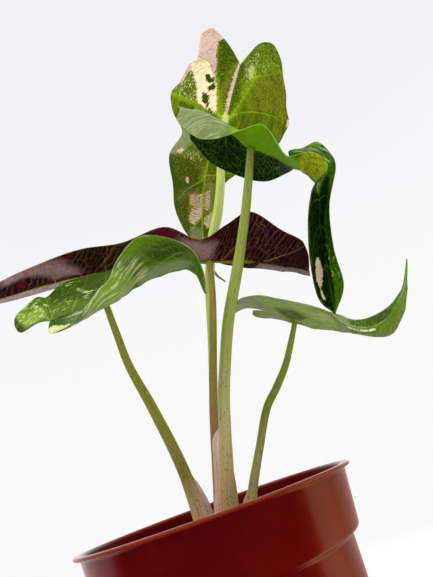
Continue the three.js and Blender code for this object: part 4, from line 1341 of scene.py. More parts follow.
# The shape of each blade: points along its midrib from the petiole to the tip, and for each half the
# free inner edge of its lobe, its margin, and how far it bows at each station. The same points as the
# solids have.
bladeShapes = {
    "top": {
        "rib": [
            (11.5, 8, 234), (7.5, 12, 221), (4, 15, 207), (0, 17.5, 198.5), (-4, 19.5, 189.5),
            (-7, 21.5, 179), (-8.5, 22.5, 167.5), (-9, 23, 156.5), (-9, 24, 145), (-8, 24, 136),
            (-5.5, 24, 127.5), (-2, 24, 121), (3, 24, 117),
        ],
        "left": {
            "lobe": [(-3.5, 3, 252), (1.5, 4.5, 248.5), (7, 6, 241.5)],
            "margin": [
                (-5, 3, 252), (-9.5, 5, 249.5), (-12, 9.5, 239), (-16.5, 12.5, 237.5), (-22, 17, 229.5),
                (-27, 20, 225), (-26, 22, 214.5), (-20.5, 20, 200.5), (-27.5, 22, 188), (-25.5, 25, 172),
                (-24.5, 27, 159.5), (-19.5, 27, 147), (-11.5, 25, 135), (-6.5, 24.5, 127),
                (-2.5, 24, 120.5), (3, 24, 116.5),
            ],
            "arch": [0, 0, 0, 0, 0, -1, -1.5, -2, -3, -3, -2, -1.5, -0.5, 0, 0, 0],
        },
        "right": {
            "lobe": [(24, 3, 243.5), (20.5, 4.5, 243), (16, 6, 238.5)],
            "margin": [
                (26, 3, 243.5), (30, 5, 243), (34, 9, 237), (35.5, 12.5, 229.5), (37.5, 16.5, 222.5),
                (38, 20, 216), (39.5, 22, 208), (37, 23, 202), (32, 24, 194), (20, 25, 186),
                (2.5, 25, 172.5), (-4, 25.5, 150.5), (-5.5, 25, 138), (-4.5, 24.5, 128),
                (-1.5, 24, 121.5), (3.5, 24, 117),
            ],
            "arch": [0, 0, 0, 0, -1, -2, -2.5, -2.5, -2, -2, -1, -1, 0, 0, 0, 0],
        },
    },
    "front": {
        "rib": [
            (1.5, -14, 181.5), (13.5, -14, 172.5), (22, -14, 169.5), (29.5, -15, 164.5), (33, -16, 162),
            (36.5, -17, 160), (39.5, -18, 157), (42.5, -18, 153.5), (43.5, -17, 149.5), (44.5, -15, 145),
            (44.5, -13, 134.5), (46, -14, 118.5), (47, -16, 104), (48, -18, 94),
        ],
        "left": {
            "lobe": [(-15, -2, 187.5), (-10.5, -7, 186), (-4.5, -11, 184.5)],
            "margin": [
                (-15, -2, 184), (-12, 4, 183), (-5, 6, 175.5), (3.5, 8, 171.5), (15, 9, 167.5),
                (24, 7, 165.5), (31.5, 3, 167), (36.5, -2, 169), (33.5, -4, 176), (40, -7, 176.5),
                (46.5, -9, 178.5), (52, -11, 171.5), (53.5, -13, 163), (48, -18, 143.5),
                (48.5, -19, 123), (52, -19, 106.5), (48, -18, 94),
            ],
            "arch": [0, 1, 1, 1, 1, 1, 1, 0, -1, -3, -3, -2, -1.5, -1, -1, -1, 0],
        },
        "right": {
            "lobe": [(-18.5, -33, 181), (-13.5, -27, 178), (-6, -20, 179.5)],
            "margin": [
                (-19, -36, 173), (-16, -38, 168), (-9.5, -40, 162), (-2, -39, 162.5), (8, -37, 167.5),
                (16, -35, 171.5), (20.5, -34, 168), (24, -33, 162), (28, -32, 158.5), (36.5, -31.5, 161),
                (43.5, -31, 158), (44, -30.5, 152), (38.5, -29, 145.5), (36.5, -26, 134), (37, -23, 117),
                (40.5, -20, 100.5), (47.5, -18, 94),
            ],
            "arch": [2, 7, 7.5, 5, 1.5, 0, 0, 0, 0, 0, -1, -2, -2, -1, -1, -1, 0],
        },
    },
    "purple": {
        "rib": [
            (32.5, 2.5, 119.5), (20, 4.5, 122.5), (8, 4, 122.5), (-5.5, 3, 122), (-19, 1, 120.5),
            (-34.5, -1, 118.5), (-51, -3, 116.5), (-68.5, -6, 112), (-81, -8, 108), (-96.5, -11, 102),
            (-107.5, -13, 99),
        ],
        "left": {
            "lobe": [(41.5, -2, 116), (39, 0, 117.5), (36, 1.5, 118.5)],
            "margin": [
                (41, -4, 118.5), (40.5, -6, 123), (38.5, -8.5, 127), (36, -10, 129.5), (27.5, -10, 134),
                (14, -9, 143), (2.5, -8, 137), (-9.5, -9, 129.5), (-25.5, -12, 134.5), (-44, -14, 126.5),
                (-61.5, -17, 122.5), (-77.5, -18, 116), (-94.5, -17, 108), (-107.5, -13, 99),
            ],
            "arch": [0, 0, 0, -1, -1, -1, -1, 0, -1, -1, -2, -1, -1, 0],
        },
        "right": {
            "lobe": [(42.5, 1, 117), (39.5, 3, 118.5), (36.5, 4, 119.5)],
            "margin": [
                (43.5, 5, 115.5), (40.5, 8, 117), (36.5, 11, 119), (30.5, 14, 120.5), (19.5, 16, 123),
                (7.5, 16, 125), (-5, 14, 129), (-21, 13, 130), (-37, 12, 127.5), (-54.5, 10, 122),
                (-73.5, 9, 113.5), (-86, 5, 107.5), (-100.5, -3, 101), (-108, -12, 98),
            ],
            "arch": [0, 0, 0, -1, -2, -2, -1, -1, -1, -1, -1, -1, 0, 0],
        },
    },
    "lower_left": {
        "rib": [
            (-65, -36, 89), (-54, -38, 93), (-42.5, -40, 95), (-37.5, -40.5, 98), (-33, -41, 101),
            (-26, -42, 104.5), (-19.5, -43, 106.5), (-14, -44, 107.5), (-9.5, -45, 105),
            (-6.5, -46, 97.5),
        ],
        "left": {
            "lobe": [(-79.5, -26, 85.5), (-76.5, -28, 86.5), (-72, -31, 88.5), (-68.5, -33.5, 89)],
            "margin": [
                (-81.5, -25, 86), (-84.5, -22, 89.5), (-85.5, -18, 94), (-79.5, -15, 101.5),
                (-75, -14.5, 102), (-69, -14, 108), (-58.5, -15, 111), (-51, -16.5, 112.5),
                (-43.5, -18, 114), (-30, -22, 117.5), (-20.5, -28, 117), (-12.5, -34, 114),
                (-8.5, -40, 108.5), (-6, -46, 97.5),
            ],
            "arch": [0, 0, -1, -1, -1, -1, -1, -1, -1, -1, -1, 0, 0, 0],
        },
        "right": {
            "lobe": [(-64, -40, 84.5), (-64.5, -38, 87.5)],
            "margin": [
                (-61.5, -44, 83.5), (-56, -50, 84), (-50.5, -55, 86), (-45.5, -58, 91), (-41, -60, 96.5),
                (-37.5, -61, 100), (-35, -62, 106), (-28.5, -61, 114), (-18.5, -58, 114.5),
                (-10.5, -54, 111), (-7.5, -50, 104), (-6.5, -46, 97.5),
            ],
            "arch": [0, -2, -3, -4, -3, -3, -2, -1, 0, 1, 1, 0],
        },
    },
    "lower_right": {
        "rib": [
            (24.5, 6, 97), (34, 4, 93.5), (44, 3, 90.5), (55.5, 2, 89), (66, 1, 87.5), (76.5, 0, 86.5),
            (82, -2, 93), (85, -3, 102.5), (85.5, -4, 110.5), (86.5, -5, 122),
        ],
        "left": {
            "lobe": [(16.5, 16, 100.5), (19.5, 13, 100), (22.5, 9, 98.5)],
            "margin": [
                (16.5, 20, 99), (19, 23, 98), (24, 24, 97.5), (29.5, 25, 98), (38, 25, 99),
                (50.5, 22, 101.5), (60, 19, 99), (66.5, 17, 96), (73.5, 14, 96.5), (81, 10, 100.5),
                (85, 6, 105.5), (87, 2, 111), (86.5, -5, 122),
            ],
            "arch": [0, 0, 0, -1, -2, -2, -2, -2, -1, -1, 0, 0, 0],
        },
        "right": {
            "lobe": [(6.5, -2, 96.5), (11.5, 0, 99), (18, 3, 99)],
            "margin": [
                (6, -5, 101.5), (10.5, -8, 103), (17, -10, 103.5), (24, -11, 102), (31, -12, 100.5),
                (39.5, -12, 98.5), (47.5, -12, 95.5), (53.5, -13, 90.5), (63, -13, 89),
                (71.5, -12, 92.5), (77.5, -10, 99.5), (83, -8, 108.5), (86.5, -5, 122),
            ],
            "arch": [0, 0, 0, 0, -1, -1, -1, -2, -2, -1, -1, 0, 0],
        },
    },
}

# Where the colours change, on each half of each blade: patches with corners (t, v), t counted in
# stations from the lobe to the tip and v from the midrib, 0, to the margin, 1. Veins are chains of such
# points, and a half that lists none gets an even fan of laterals.
leafPatterns = {
    "top": {
        "ribFrom": {"left": 5.2, "right": 5.2},
        "patches": [
            ("pink", "left", [
                (-1, -0.3), (-1, 1.3), (2, 1.2), (2, 0.9), (2.8, 0.62), (3.7, 0.4), (3.8, 0.35),
                (3.2, 0.44), (2, 0.46), (1.4, 0.3), (1.1, -0.3),
            ]),
            ("cream", "left", [
                (1.9, 1.2), (3, 1.1), (3.4, 0.85), (3.9, 0.7), (4.9, 0.52), (5.1, 0.35), (5.2, 0.18),
                (4.8, 0.18), (4, 0.3), (3.6, 0.4), (2.8, 0.62), (2, 0.9),
            ]),
            ("island", "left", [
                (3.4, 0.58), (3.4, 0.54), (3.7, 0.42), (3.9, 0.38), (3.8, 0.5), (3.6, 0.56),
            ]),
            ("island", "left", [(3.5, 0.44), (3.7, 0.37), (4.1, 0.3), (4.2, 0.42), (4, 0.48), (3.9, 0.4)]),
            ("island", "left", [(4.3, 0.5), (4.4, 0.38), (4.8, 0.32), (5, 0.3), (4.8, 0.44), (4.6, 0.48)]),
            ("island", "left", [(4.9, 0.34), (5.1, 0.18), (5.2, 0.24), (5.1, 0.32)]),
            ("pink", "left", [(3.1, 1.2), (3.1, 0.93), (3.4, 0.93), (4.1, 0.97), (4.2, 1.2)]),
            ("fleck", "left", [(3.3, 0.9), (4.3, 0.6), (4.9, 0.5), (5.1, 1.1), (4, 1.1)]),
            ("bright", "left", [(5, 1.1), (4.9, 0.64), (5.1, 0.35), (5.25, 0.4), (5.2, 0.7), (5.15, 1.1)]),
            ("deep", "left", [(5.2, 0.76), (5.1, 0.62), (5.3, 0.46), (5.5, 0.7)]),
            ("bright", "left", [
                (3.6, 0.34), (4.2, 0.2), (4.9, 0.02), (5.2, -0.2), (5.5, -0.2), (5.4, 0.1), (5, 0.18),
                (4.1, 0.3), (3.6, 0.42),
            ]),
            ("deep", "left", [
                (1.1, 0), (2.8, -0.1), (3.1, 0.14), (4, 0.22), (3.5, 0.3), (3, 0.4), (2, 0.38), (1.5, 0.28),
            ]),
            ("deep", "left", [(3, 0.05), (4.7, 0.06), (4.5, 0.12), (3.6, 0.1)]),
            ("mosaic", "left", [
                (2.9, 0.14), (2.9, 0.04), (4.4, 0.09), (4.4, 0.16), (3.8, 0.22), (3.3, 0.18),
            ]),
            ("pink", "left", [(3, 0.05), (3, -0.2), (4.9, -0.2), (5, 0.04), (4.5, 0.06), (3.4, 0.06)]),
            ("sheen", "left", [
                (6.8, 0.95), (6.9, 0.7), (7.3, 0.6), (7.6, 0.64), (8, 0.85), (8.1, 1.1),
                (7, 1.1),
            ]),
            ("pink", "left", [(7.55, 0.76), (7.65, 0.66), (7.85, 0.74), (7.75, 0.84)]),
            ("fleck", "left", [(7.4, 0.3), (7.6, 0.1), (7.9, 0.3), (7.9, 0.6), (7.6, 0.64)]),
            ("deep", "left", [
                (8, 0.95), (7.9, 0.5), (7.7, 0.1), (8.2, 0), (8.6, 0.06), (8.9, 0.4),
                (8.7, 0.86),
            ]),
            ("mosaic", "left", [(7.9, 0.92), (7.7, 0.1), (8.2, 0), (8.6, 0.06), (8.9, 0.4), (8.7, 0.86)]),
            ("pink", "left", [(8.6, 0.54), (8.65, 0.45), (8.9, 0.44), (8.85, 0.54)]),
            ("bright", "left", [
                (7.7, 0.06), (8.4, 0.03), (8.8, 0.2), (9.1, 0.5), (8.8, 0.28), (8.2, 0.08),
            ]),
            ("sheen", "left", [(9.7, 0.88), (9.2, 0.74), (9, 0.4), (9, 0.14), (9.3, 0.3), (9.8, 0.74)]),
            ("pink", "left", [(9.4, 0.4), (9.3, 0.22), (9.7, 0.2), (9.9, 0.3), (9.8, 0.4)]),
            ("ladder", "left", [
                (9.2, 0.5), (9.2, -0.1), (10.3, -0.1), (10.9, 0.3), (10.6, 0.6), (9.9, 0.4),
            ]),
            ("ladder", "right", [(9, -0.2), (9, 0.3), (10.4, 0.6), (10.9, 0.2), (10, -0.2)]),
            ("dim", "left", [
                (7.9, 0.5), (7.9, 1.2), (11.6, 1.2), (11.2, 0.6), (9.8, 0.44), (9, 0.2),
                (8.3, 0.1),
            ]),
            ("pink", "left", [
                (9.3, 0.22), (9.2, 0), (10.3, 0), (10.8, 0.32), (10.6, 0.54), (10, 0.32), (9.7, 0.2),
            ]),
            ("mosaic", "left", [
                (9.2, 0.1), (9.8, 0.06), (10.6, 0.4), (11.2, 0.9), (10.6, 1.1), (9.3, 0.6),
            ]),
            ("deep", "left", [
                (9.8, 0.9), (9.5, 0.48), (10, 0.42), (10.6, 0.55), (10.9, 0.35), (11.3, 0.76),
                (10.9, 1),
            ]),
            ("sheen", "left", [(10.9, 0.58), (10.9, 0.05), (16, 0), (16, 1.1), (11.4, 1.1)]),
            ("deep", "right", [
                (2.8, -0.1), (3, 0.1), (3.8, 0.14), (4.8, 0.06), (5, 0), (4, 0.02), (3.3, 0.04),
            ]),
            ("bright", "right", [
                (5.3, -0.2), (4.8, 0.1), (4, 0.23), (3.4, 0.32), (3.25, 0.4), (3.35, 0.46), (3.8, 0.34),
                (4.7, 0.18), (5.5, 0.1),
            ]),
            ("fleck", "right", [(3, 0.1), (1.7, 0.2), (1.9, 0.32), (3.2, 0.36), (3.6, 0.28), (3.7, 0.2)]),
            ("fleck", "right", [(2.6, 0.44), (2.2, 0.62), (2.7, 0.66), (3.2, 0.54)]),
            ("pale", "right", [(3.05, 0.18), (2.9, 0.28), (3.1, 0.34), (3.5, 0.32), (3.35, 0.22)]),
            ("streaky", "right", [
                (0.6, 0), (0.6, 1), (2.8, 1), (3.3, 0.5), (4, 0.3), (4.4, 0.14), (3, 0.08),
            ]),
            ("mosaic", "right", [
                (3.5, 0.38), (3.2, 0.58), (2.9, 1), (4.7, 1.05), (5.9, 0.95), (5.3, 0.75), (5, 0.54),
                (4.8, 0.32), (4.4, 0.27), (4, 0.36),
            ]),
            ("mosaic", "right", [(6.5, 0.76), (6.4, 0.84), (6.8, 0.95), (7.4, 0.95), (7.2, 0.84)]),
            ("pink", "right", [(5.8, 0.96), (6.1, 1.2), (6.5, 1.2), (6.4, 0.96)]),
            ("mosaic", "right", [(7.8, -0.1), (7.9, 0.12), (8.7, 0.2), (9.4, 0.1), (8.5, -0.1)]),
            ("sheen", "right", [
                (8.7, 0), (8.8, 0.12), (9.5, 0.32), (10.6, 0.94), (10.7, 0.68), (10.1, 0.34),
                (9.4, 0.16),
            ]),
            ("pink", "right", [
                (9.2, 0.04), (9.2, 0.14), (9.6, 0.2), (10.4, 0.45), (10.3, 0.2), (10, 0.06),
            ]),
            ("pink", "right", [(10.5, 0.12), (10.7, 0.94), (11.2, 1.1), (11.1, 0.46), (10.7, 0.06)]),
        ],
        "veins": {
            "left": [
                [
                    (5.25, 0), (5, 0.14), (4.6, 0.22), (4.1, 0.28), (3.6, 0.36), (3, 0.45),
                    (2, 0.42), (1.5, 0.3),
                ],
                [(5.3, 0), (5.05, 0.18), (5.05, 0.34), (5, 0.52), (4.95, 0.76), (5, 0.98)],
                [(6.4, 0), (6.6, 0.3), (6.7, 0.6), (6.6, 0.9)],
                [(8.2, 0), (8.6, 0.06), (8.9, 0.26), (9.2, 0.52), (9.7, 0.8)],
                [(10.2, 0), (10.6, 0.14), (11, 0.48), (11.2, 0.8)],
            ],
            "right": [
                [(5.2, 0.03), (4.8, 0.12), (4.35, 0.2), (3.8, 0.3), (3.3, 0.37), (2.7, 0.34), (1.9, 0.3)],
                [(3.4, 0.36), (3.3, 0.46), (3.1, 0.66), (2.95, 0.86)],
                [(5.3, 0.03), (5.05, 0.1), (4.95, 0.2), (5, 0.4), (5.2, 0.58), (5.55, 0.78), (6.15, 0.94)],
                [(6.6, 0), (7, 0.4), (7.6, 0.9)], [(8.3, 0), (8.8, 0.4), (9.6, 0.9)],
                [(9.8, 0), (10.4, 0.4), (11.2, 0.9)], [(11.8, 0), (12.3, 0.4), (13, 0.9)],
            ],
        },
    },
    "front": {
        "ribFrom": {"left": 4.0, "right": 4.0},
        "patches": [
            ("sheen", "right", [(-1, -0.3), (2.9, -0.3), (3.2, 0.5), (3.3, 1.2), (-1, 1.2)]),
            ("streaky", "right", [(-1, -0.3), (1.4, 0.2), (3.2, 0.5), (3.3, 1.2), (-1, 1.2)]),
            ("deep", "right", [(0.9, 0.5), (2.1, 0.4), (3, 0.25), (3.1, 0.6), (2.2, 0.6), (1.4, 0.66)]),
            ("bright", "right", [(3.2, -0.3), (8, -0.3), (8.6, 0.5), (8, 1.2), (3.4, 1.2)]),
            ("deep", "right", [(4.4, 0.5), (4.7, 0.5), (4.7, 0.36), (4.4, 0.3)]),
            ("pale", "right", [(7.7, -0.3), (11.2, -0.3), (11.4, 0.4), (10.8, 1), (8.8, 1.1)]),
            ("mosaic", "right", [(8.4, -0.3), (11, -0.3), (11.2, 0.4), (10.8, 1), (8.8, 1)]),
            ("deep", "right", [(11.2, -0.3), (17, -0.3), (17, 1.2), (11.4, 1.2)]),
            ("dim", "right", [(11.5, -0.3), (16.4, -0.3), (15.6, 0.8), (12, 0.9)]),
            ("pink", "right", [
                (14, 0.56), (13.95, 0.36), (14.25, 0.2), (14.7, 0.4), (14.75, 0.58), (14.55, 0.76),
                (14.3, 0.7),
            ]),
            ("pink", "right", [(14.75, 0.56), (14.95, 0.46), (15.2, 0.5), (15.15, 0.66), (14.95, 0.62)]),
            # the far half, painted nearly black green: its own dark underside with painted shade, as it
            # slopes down behind
            ("deep", "left", [(-1, -0.3), (7.6, -0.3), (7.8, 1.2), (-1, 1.2)]),
            ("streaky", "left", [(8, 0), (11, 0), (11.3, 1.1), (8.2, 1.1)]),
            ("deep", "left", [(9.7, 0.9), (10.4, 1.02), (10.6, 0.96), (10.3, 0.84), (9.9, 0.8)]),
            ("bright", "left", [(9.5, 1.2), (9.5, 0.95), (10.2, 0.95), (10.2, 1.2)]),
            ("fleck", "left", [(13.6, 0.1), (14.1, 1), (14.7, 0.8), (14.7, 0.1)]),
            ("deep", "left", [
                (11.2, -0.3), (16.5, -0.3), (15.5, 0.2), (13.4, 0.3), (12.6, 0.5), (11.6, 0.7),
            ]),
            ("dim", "left", [
                (11.2, -0.3), (16.5, -0.3), (15.5, 0.2), (13.4, 0.3), (12.6, 0.5), (11.6, 0.7),
            ]),
        ],
        "veins": {},
    },
    "purple": {
        "ribFrom": {"left": 4.5, "right": 4.5},
        "patches": [
            ("deep", "left", [
                (10, 0.96), (9.5, 1.2), (8.7, 1.2), (8.7, -0.1), (9.6, -0.1), (9.8, 0.22),
                (10.3, 0.7),
            ]),
            ("pink", "left", [(10.4, 0.94), (10.2, 0.94), (10.1, 0.82), (10.3, 0.82)]),
            ("pink", "left", [(11.6, 0.52), (11.4, 0.5), (11.3, 0.2), (11.5, 0.24)]),
            ("pink", "left", [(8.3, 0.95), (7.6, 0.95), (7.6, 0.8), (8, 0.76)]),
            ("sheen", "left", [
                (12, 1.1), (11.1, 1.1), (10.4, 0.8), (10, 0.48), (9.8, 0.2), (10.5, 0.22), (11, 0.56),
                (11.4, 0.72), (11.9, 0.7),
            ]),
            ("sheen", "left", [(7.5, 0.84), (7, 0.94), (6.1, 0.56), (6, 0.12), (6.4, 0.06), (7.2, 0.72)]),
            ("pale", "right", [(9.5, -0.3), (14, -0.3), (14, 1.2), (9.6, 1.2)]),
            ("pale", "right", [(-1, -0.3), (4, 0.1), (4.6, 1.2), (-1, 1.2)]),
        ],
        "veins": {
            "left": [
                [(5.6, 0.04), (5.3, 0.3), (5.05, 0.48), (5, 0.7)],
                [(3.9, 0.04), (3.4, 0.38), (3, 0.62), (2, 0.98)],
                [(7.2, 0), (7, 0.4), (7.3, 0.9)],
                [(9.1, 0), (9.3, 0.5), (9.2, 0.94)], [(9.7, 0.02), (9.8, 0.2), (10, 0.46), (10.4, 0.76)],
                [(10.5, 0.02), (10.6, 0.4), (10.9, 0.92)],
            ],
        },
    },
    "lower_left": {
        "ribFrom": {"left": 5.6, "right": 4.0},
        "patches": [
            ("fleck", "left", [(5.1, 0.94), (5.4, 0.9), (5.4, 0.82), (5.2, 0.78), (5.05, 0.86)]),
            ("fleck", "left", [
                (5.4, 0.7), (5.6, 0.56), (5.8, 0.58), (5.8, 0.46), (5.6, 0.34), (5.4, 0.3),
                (5.5, 0.46),
            ]),
            ("fleck", "left", [
                (2, 1.1), (3.1, 0.9), (3.9, 0.8), (3.9, 0.66), (3.6, 0.5), (2.7, 0.6),
                (2.1, 0.86),
            ]),
            ("fleck", "left", [(4, 0.46), (4.5, 0.3), (4.9, 0.2), (4.6, 0.16), (4.2, 0.28)]),
            ("fleck", "left", [(4.7, 0.5), (4.9, 0.58), (4.8, 0.4), (5, 0.26), (4.8, 0.28)]),
            ("pale", "left", [
                (1.9, 1.1), (2.4, 0.7), (3.7, 0.54), (3.7, 0.2), (2.2, 0.06), (1.2, 0.14),
                (1.4, 0.7),
            ]),
            ("fleck", "left", [
                (1.9, 1), (2.4, 0.7), (3.4, 0.5), (3.4, 0.2), (2.2, 0.1), (1.4, 0.2), (1.5, 0.7),
            ]),
            ("mosaic", "left", [(3.8, 1), (5.6, 0.95), (6.2, 0.6), (5.6, 0.2), (4.2, 0.05), (3.6, 0.4)]),
            ("deep", "left", [(4.1, 1.2), (9, 1.2), (9, -0.2), (6, 0.1), (5.2, 0.3), (4.2, 0.6)]),
            ("deep", "left", [(1.3, 1.1), (1.9, 0.94), (1.2, 0.62), (1, 0), (-0.5, -0.3), (-0.5, 1.2)]),
            ("pale", "right", [
                (2.8, 0.3), (3, 1.2), (4.3, 1.2), (5.5, 1), (6.2, 0.6), (5.8, 0.1), (4, 0.2),
            ]),
            ("streaky", "right", [(2.4, 0), (2.6, 1.2), (5.6, 1.1), (6.5, 0.8), (6.9, 0.3), (6.2, -0.2)]),
            ("fleck", "right", [(4.6, 0.94), (5.1, 0.9), (5.2, 0.8), (4.7, 0.76), (4.3, 0.66)]),
            ("fleck", "right", [(5.2, 0.96), (5.7, 0.9), (6, 0.82), (5.5, 0.76), (5.3, 0.84)]),
            ("fleck", "right", [(6.25, 0.62), (6.4, 0.58), (6.2, 0.44), (6.1, 0.46)]),
            ("bright", "right", [
                (6.5, 1.2), (7.2, 1.1), (7.9, 1.05), (7.3, 0.88), (6.9, 0.82), (6.5, 0.78), (6.1, 0.96),
            ]),
            ("deep", "right", [(7, 0.7), (7.9, 0.92), (8.9, 0.9), (8.6, 0.5), (7.6, 0.36), (7, 0.4)]),
            ("sheen", "right", [
                (6.1, -0.2), (9, -0.2), (9.3, 0.34), (8.5, 0.34), (7.5, 0.26), (6.9, 0.26), (6.3, 0.32),
            ]),
            ("deep", "right", [(1.4, -0.2), (3, -0.1), (3, 0.08), (2.4, 0.32), (1.2, 0.3), (0.3, 0.16)]),
            ("cream", "right", [(-0.5, -0.1), (1.6, 0.3), (2.3, 0.4), (2.2, 0.9), (1, 0.9), (-0.5, 1.2)]),
        ],
        "veins": {
            "right": [
                [(6.8, 0.06), (7.3, 0.26), (7.9, 0.44), (8.4, 0.62), (9.2, 0.8)],
                [(5.4, 0.02), (5.8, 0.4), (6.4, 0.9)], [(4.6, 0.02), (4.8, 0.5), (5.2, 0.94)],
            ],
        },
    },
    "lower_right": {
        "ribFrom": {"left": 4.0, "right": 4.0},
        "patches": [
            ("sheen", "right", [
                (-1, 1.2), (1.9, 0.96), (2.2, 0.54), (3.1, 0.26), (3.4, 0), (2.6, -0.2), (-1, -0.2),
            ]),
            ("deep", "right", [(3.1, 0.48), (4, 0.66), (4.8, 0.52), (4.6, 0.34), (4, 0.1), (3.4, 0.24)]),
            ("pale", "right", [(5.2, 0.86), (6, 0.88), (6.3, 0.5), (5.4, 0.54)]),
            ("bright", "right", [(6.8, 1), (8.6, 0.94), (8.2, 0.5), (8.2, 0.08), (6.8, 0.1)]),
            ("bright", "right", [(8.4, 1.2), (12, 1.2), (12, -0.3), (8.8, -0.3), (8.2, 0.1)]),
            ("deep", "right", [(8.6, 0.9), (9.7, 0.8), (9.9, 0), (9.1, 0), (8.2, 0.06), (8.1, 0.5)]),
            ("cream", "right", [(6.9, 0.9), (8.2, 0.9), (8.2, 0.82), (7, 0.84)]),
            ("fleck", "right", [(7.4, 0.4), (8.1, 0.4), (8.1, 0.2), (7.4, 0.2)]),
            ("sheen", "left", [(2.5, 0.1), (6.4, 0.1), (6.6, 0.8), (3, 0.85)]),
            ("deep", "left", [(6.7, -0.3), (6.7, 1.2), (9.2, 1.2), (9.2, -0.3)]),
            ("fleck", "left", [(6.7, 0.2), (6.7, 1.2), (8.8, 1.2), (8.8, 0.2)]),
            ("bright", "left", [(9.1, -0.3), (9.1, 1.2), (14, 1.2), (14, -0.3)]),
            ("bright", "right", [(9.9, -0.3), (9.9, 1.2), (14, 1.2), (14, -0.3)]),
            ("streaky", "right", [(-1, -0.2), (-1, 1.2), (8, 1.2), (8, -0.2)]),
        ],
        "veins": {
            "right": [
                [(3.4, 0.02), (2.8, 0.38), (2.2, 0.54), (1.6, 0.8)],
                [(4.15, 0.9), (4.3, 0.76), (5, 0.6), (5.6, 0.5), (6.5, 0.44)],
                [(6, 0.02), (6.8, 0.4), (7.6, 0.9)],
            ],
        },
    },
}
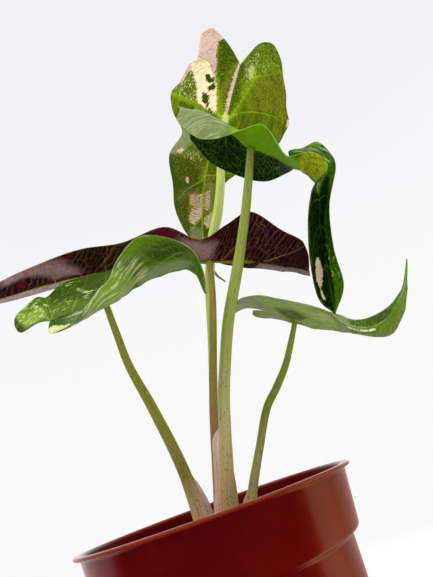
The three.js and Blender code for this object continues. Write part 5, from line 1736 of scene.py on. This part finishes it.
# Colours, sizes and strengths that a leaf has unless it says otherwise.
leafBasics = {
    "sheen colour": tint(120, 124, 88), "cream colour": tint(236, 224, 186),
    "pink colour": tint(208, 182, 166), "mosaic colour": tint(146, 134, 70),
    "fleck colour": tint(206, 202, 160), "Edge colour": tint(190, 194, 140),
    "Cell": (1.3, 3.0, 1e6), "Speck": (0.7, 1.1, 1e6), "Streak": (1e6, 1.4, 16.0),
    "Streak colour": tint(150, 160, 120), "Streaks": 0.0, "Patch streaks": 0.5,
    "Line": (0.8, 0, 0), "Lines": 0.0, "Net width": 0.12, "mosaic level": 0.51, "fleck level": 0.59,
    "Net": 0.6, "Veins": 0.8, "Ribs": 0.8, "Edging": 0.45, "Ragged": 4.0, "Soft": 1.0, "gloss": 0.42,
    "relief": 0.0004, "shine": 0.06,
}
leafLooks = {
    "top": {
        "slot": "leaf_green",
        "both": {
            "Ground": tint(60, 82, 0), "Mottle": tint(84, 104, 0), "deep colour": tint(46, 66, 0),
            "bright colour": tint(112, 138, 2), "pale colour": tint(180, 182, 96),
            "cream colour": tint(240, 222, 180), "Net colour": tint(118, 138, 10),
            "mosaic colour": tint(134, 122, 34), "mosaic level": 0.525, "Line": (0.85, 0.05, 0),
            "Streak": (1.5, 0.7, 1e6), "Patch streaks": 0.65, "Streak colour": tint(172, 188, 56),
            "Vein colour": tint(156, 178, 40), "Rib colour": tint(146, 168, 44),
            "Edge colour": tint(206, 170, 160),
        },
        "Upper": {"Ground": tint(66, 92, 12), "Mottle": tint(84, 108, 20), "shine": 0.2},
    },
    "front": {
        "slot": "leaf_dark",
        "both": {
            "Ground": tint(44, 82, 0), "Mottle": tint(30, 64, 0), "deep colour": tint(2, 22, 0),
            "bright colour": tint(102, 150, 0), "pale colour": tint(152, 164, 30),
            "sheen colour": tint(114, 124, 82), "pink colour": tint(170, 158, 134),
            "Net colour": tint(84, 128, 6), "Vein colour": tint(88, 126, 10),
            "Rib colour": tint(60, 92, 8), "Ribs": 0.4, "Net": 0.52, "Veins": 0.3, "Net width": 0.07,
            "Edge colour": tint(150, 164, 96), "Cell": (1e6, 3.5, 2.5), "shine": 0.02, "gloss": 0.4,
            "Streak colour": tint(186, 196, 160), "Streaks": 0.0, "Patch streaks": 0.6,
            "fleck colour": tint(156, 166, 70), "mosaic colour": tint(98, 112, 6), "mosaic level": 0.5,
            "Speck": (1e6, 1.6, 1.6), "Soft": 2.6,
        },
    },
    "purple": {
        "slot": "leaf_purple",
        "both": {
            "Ground": tint(32, 0, 16), "Mottle": tint(14, 0, 0), "deep colour": tint(16, 12, 0),
            "bright colour": tint(96, 96, 40), "pale colour": tint(158, 140, 138),
            "sheen colour": tint(136, 110, 108), "pink colour": tint(76, 14, 32),
            "Net colour": tint(112, 72, 50), "Net": 0.5, "Vein colour": tint(128, 104, 50),
            "Rib colour": tint(118, 128, 14), "Edge colour": tint(126, 100, 60),
            "Cell": (1e6, 5.0, 1.8), "Edging": 0.7, "Streak": (1e6, 1.6, 12.0), "Net width": 0.05,
            "Streak colour": tint(60, 18, 40), "Streaks": 0.3, "shine": 0.01, "Line": (0, 0.06, 0.46),
            "Lines": 0.9, "Soft": 2.4,
        },
        "Upper": {
            "Ground": tint(60, 72, 24), "Mottle": tint(76, 84, 34), "Net colour": tint(110, 102, 60),
            "Net": 0.5, "Vein colour": tint(150, 124, 90),
        },
    },
    "lower_left": {
        "slot": "leaf_green",
        "both": {
            "Ground": tint(70, 98, 12), "Mottle": tint(60, 84, 6), "deep colour": tint(38, 60, 0),
            "bright colour": tint(70, 110, 0), "pale colour": tint(110, 138, 44),
            "sheen colour": tint(104, 116, 80), "cream colour": tint(198, 204, 140),
            "fleck colour": tint(176, 190, 116), "Net colour": tint(100, 128, 40), "Net": 0.35,
            "Vein colour": tint(124, 146, 62), "Veins": 0.5, "Rib colour": tint(96, 122, 40),
            "Ribs": 0.3, "Edging": 0.35, "shine": 0.04, "gloss": 0.36, "Speck": (2.4, 1.8, 1e6),
            "Streak colour": tint(188, 198, 150), "Streaks": 0.05, "Patch streaks": 0.85,
            "Streak": (1e6, 1.5, 14.0), "fleck level": 0.55, "mosaic level": 0.64,
            "mosaic colour": tint(150, 172, 96), "Soft": 2.0,
        },
    },
    "lower_right": {
        "slot": "leaf_green",
        "both": {
            "Ground": tint(108, 128, 52), "Mottle": tint(130, 144, 74), "deep colour": tint(58, 84, 12),
            "bright colour": tint(72, 108, 0), "pale colour": tint(142, 160, 84),
            "sheen colour": tint(122, 128, 94), "Net colour": tint(122, 142, 64), "Net": 0.35,
            "Vein colour": tint(138, 156, 88), "Veins": 0.5, "Rib colour": tint(120, 142, 66),
            "Ribs": 0.35, "Edging": 0.4, "shine": 0.04, "gloss": 0.36,
            "Streak colour": tint(172, 186, 136), "Streaks": 0.1, "Patch streaks": 0.55,
            "Streak": (1e6, 1.0, 14.0), "fleck level": 0.65, "Soft": 1.4,
        },
    },
}


for leafName, leafShape in bladeShapes.items():
    makeBlade(leafName, dict(leafShape, **leafPatterns[leafName]), leafLooks[leafName])
print("leaves made")
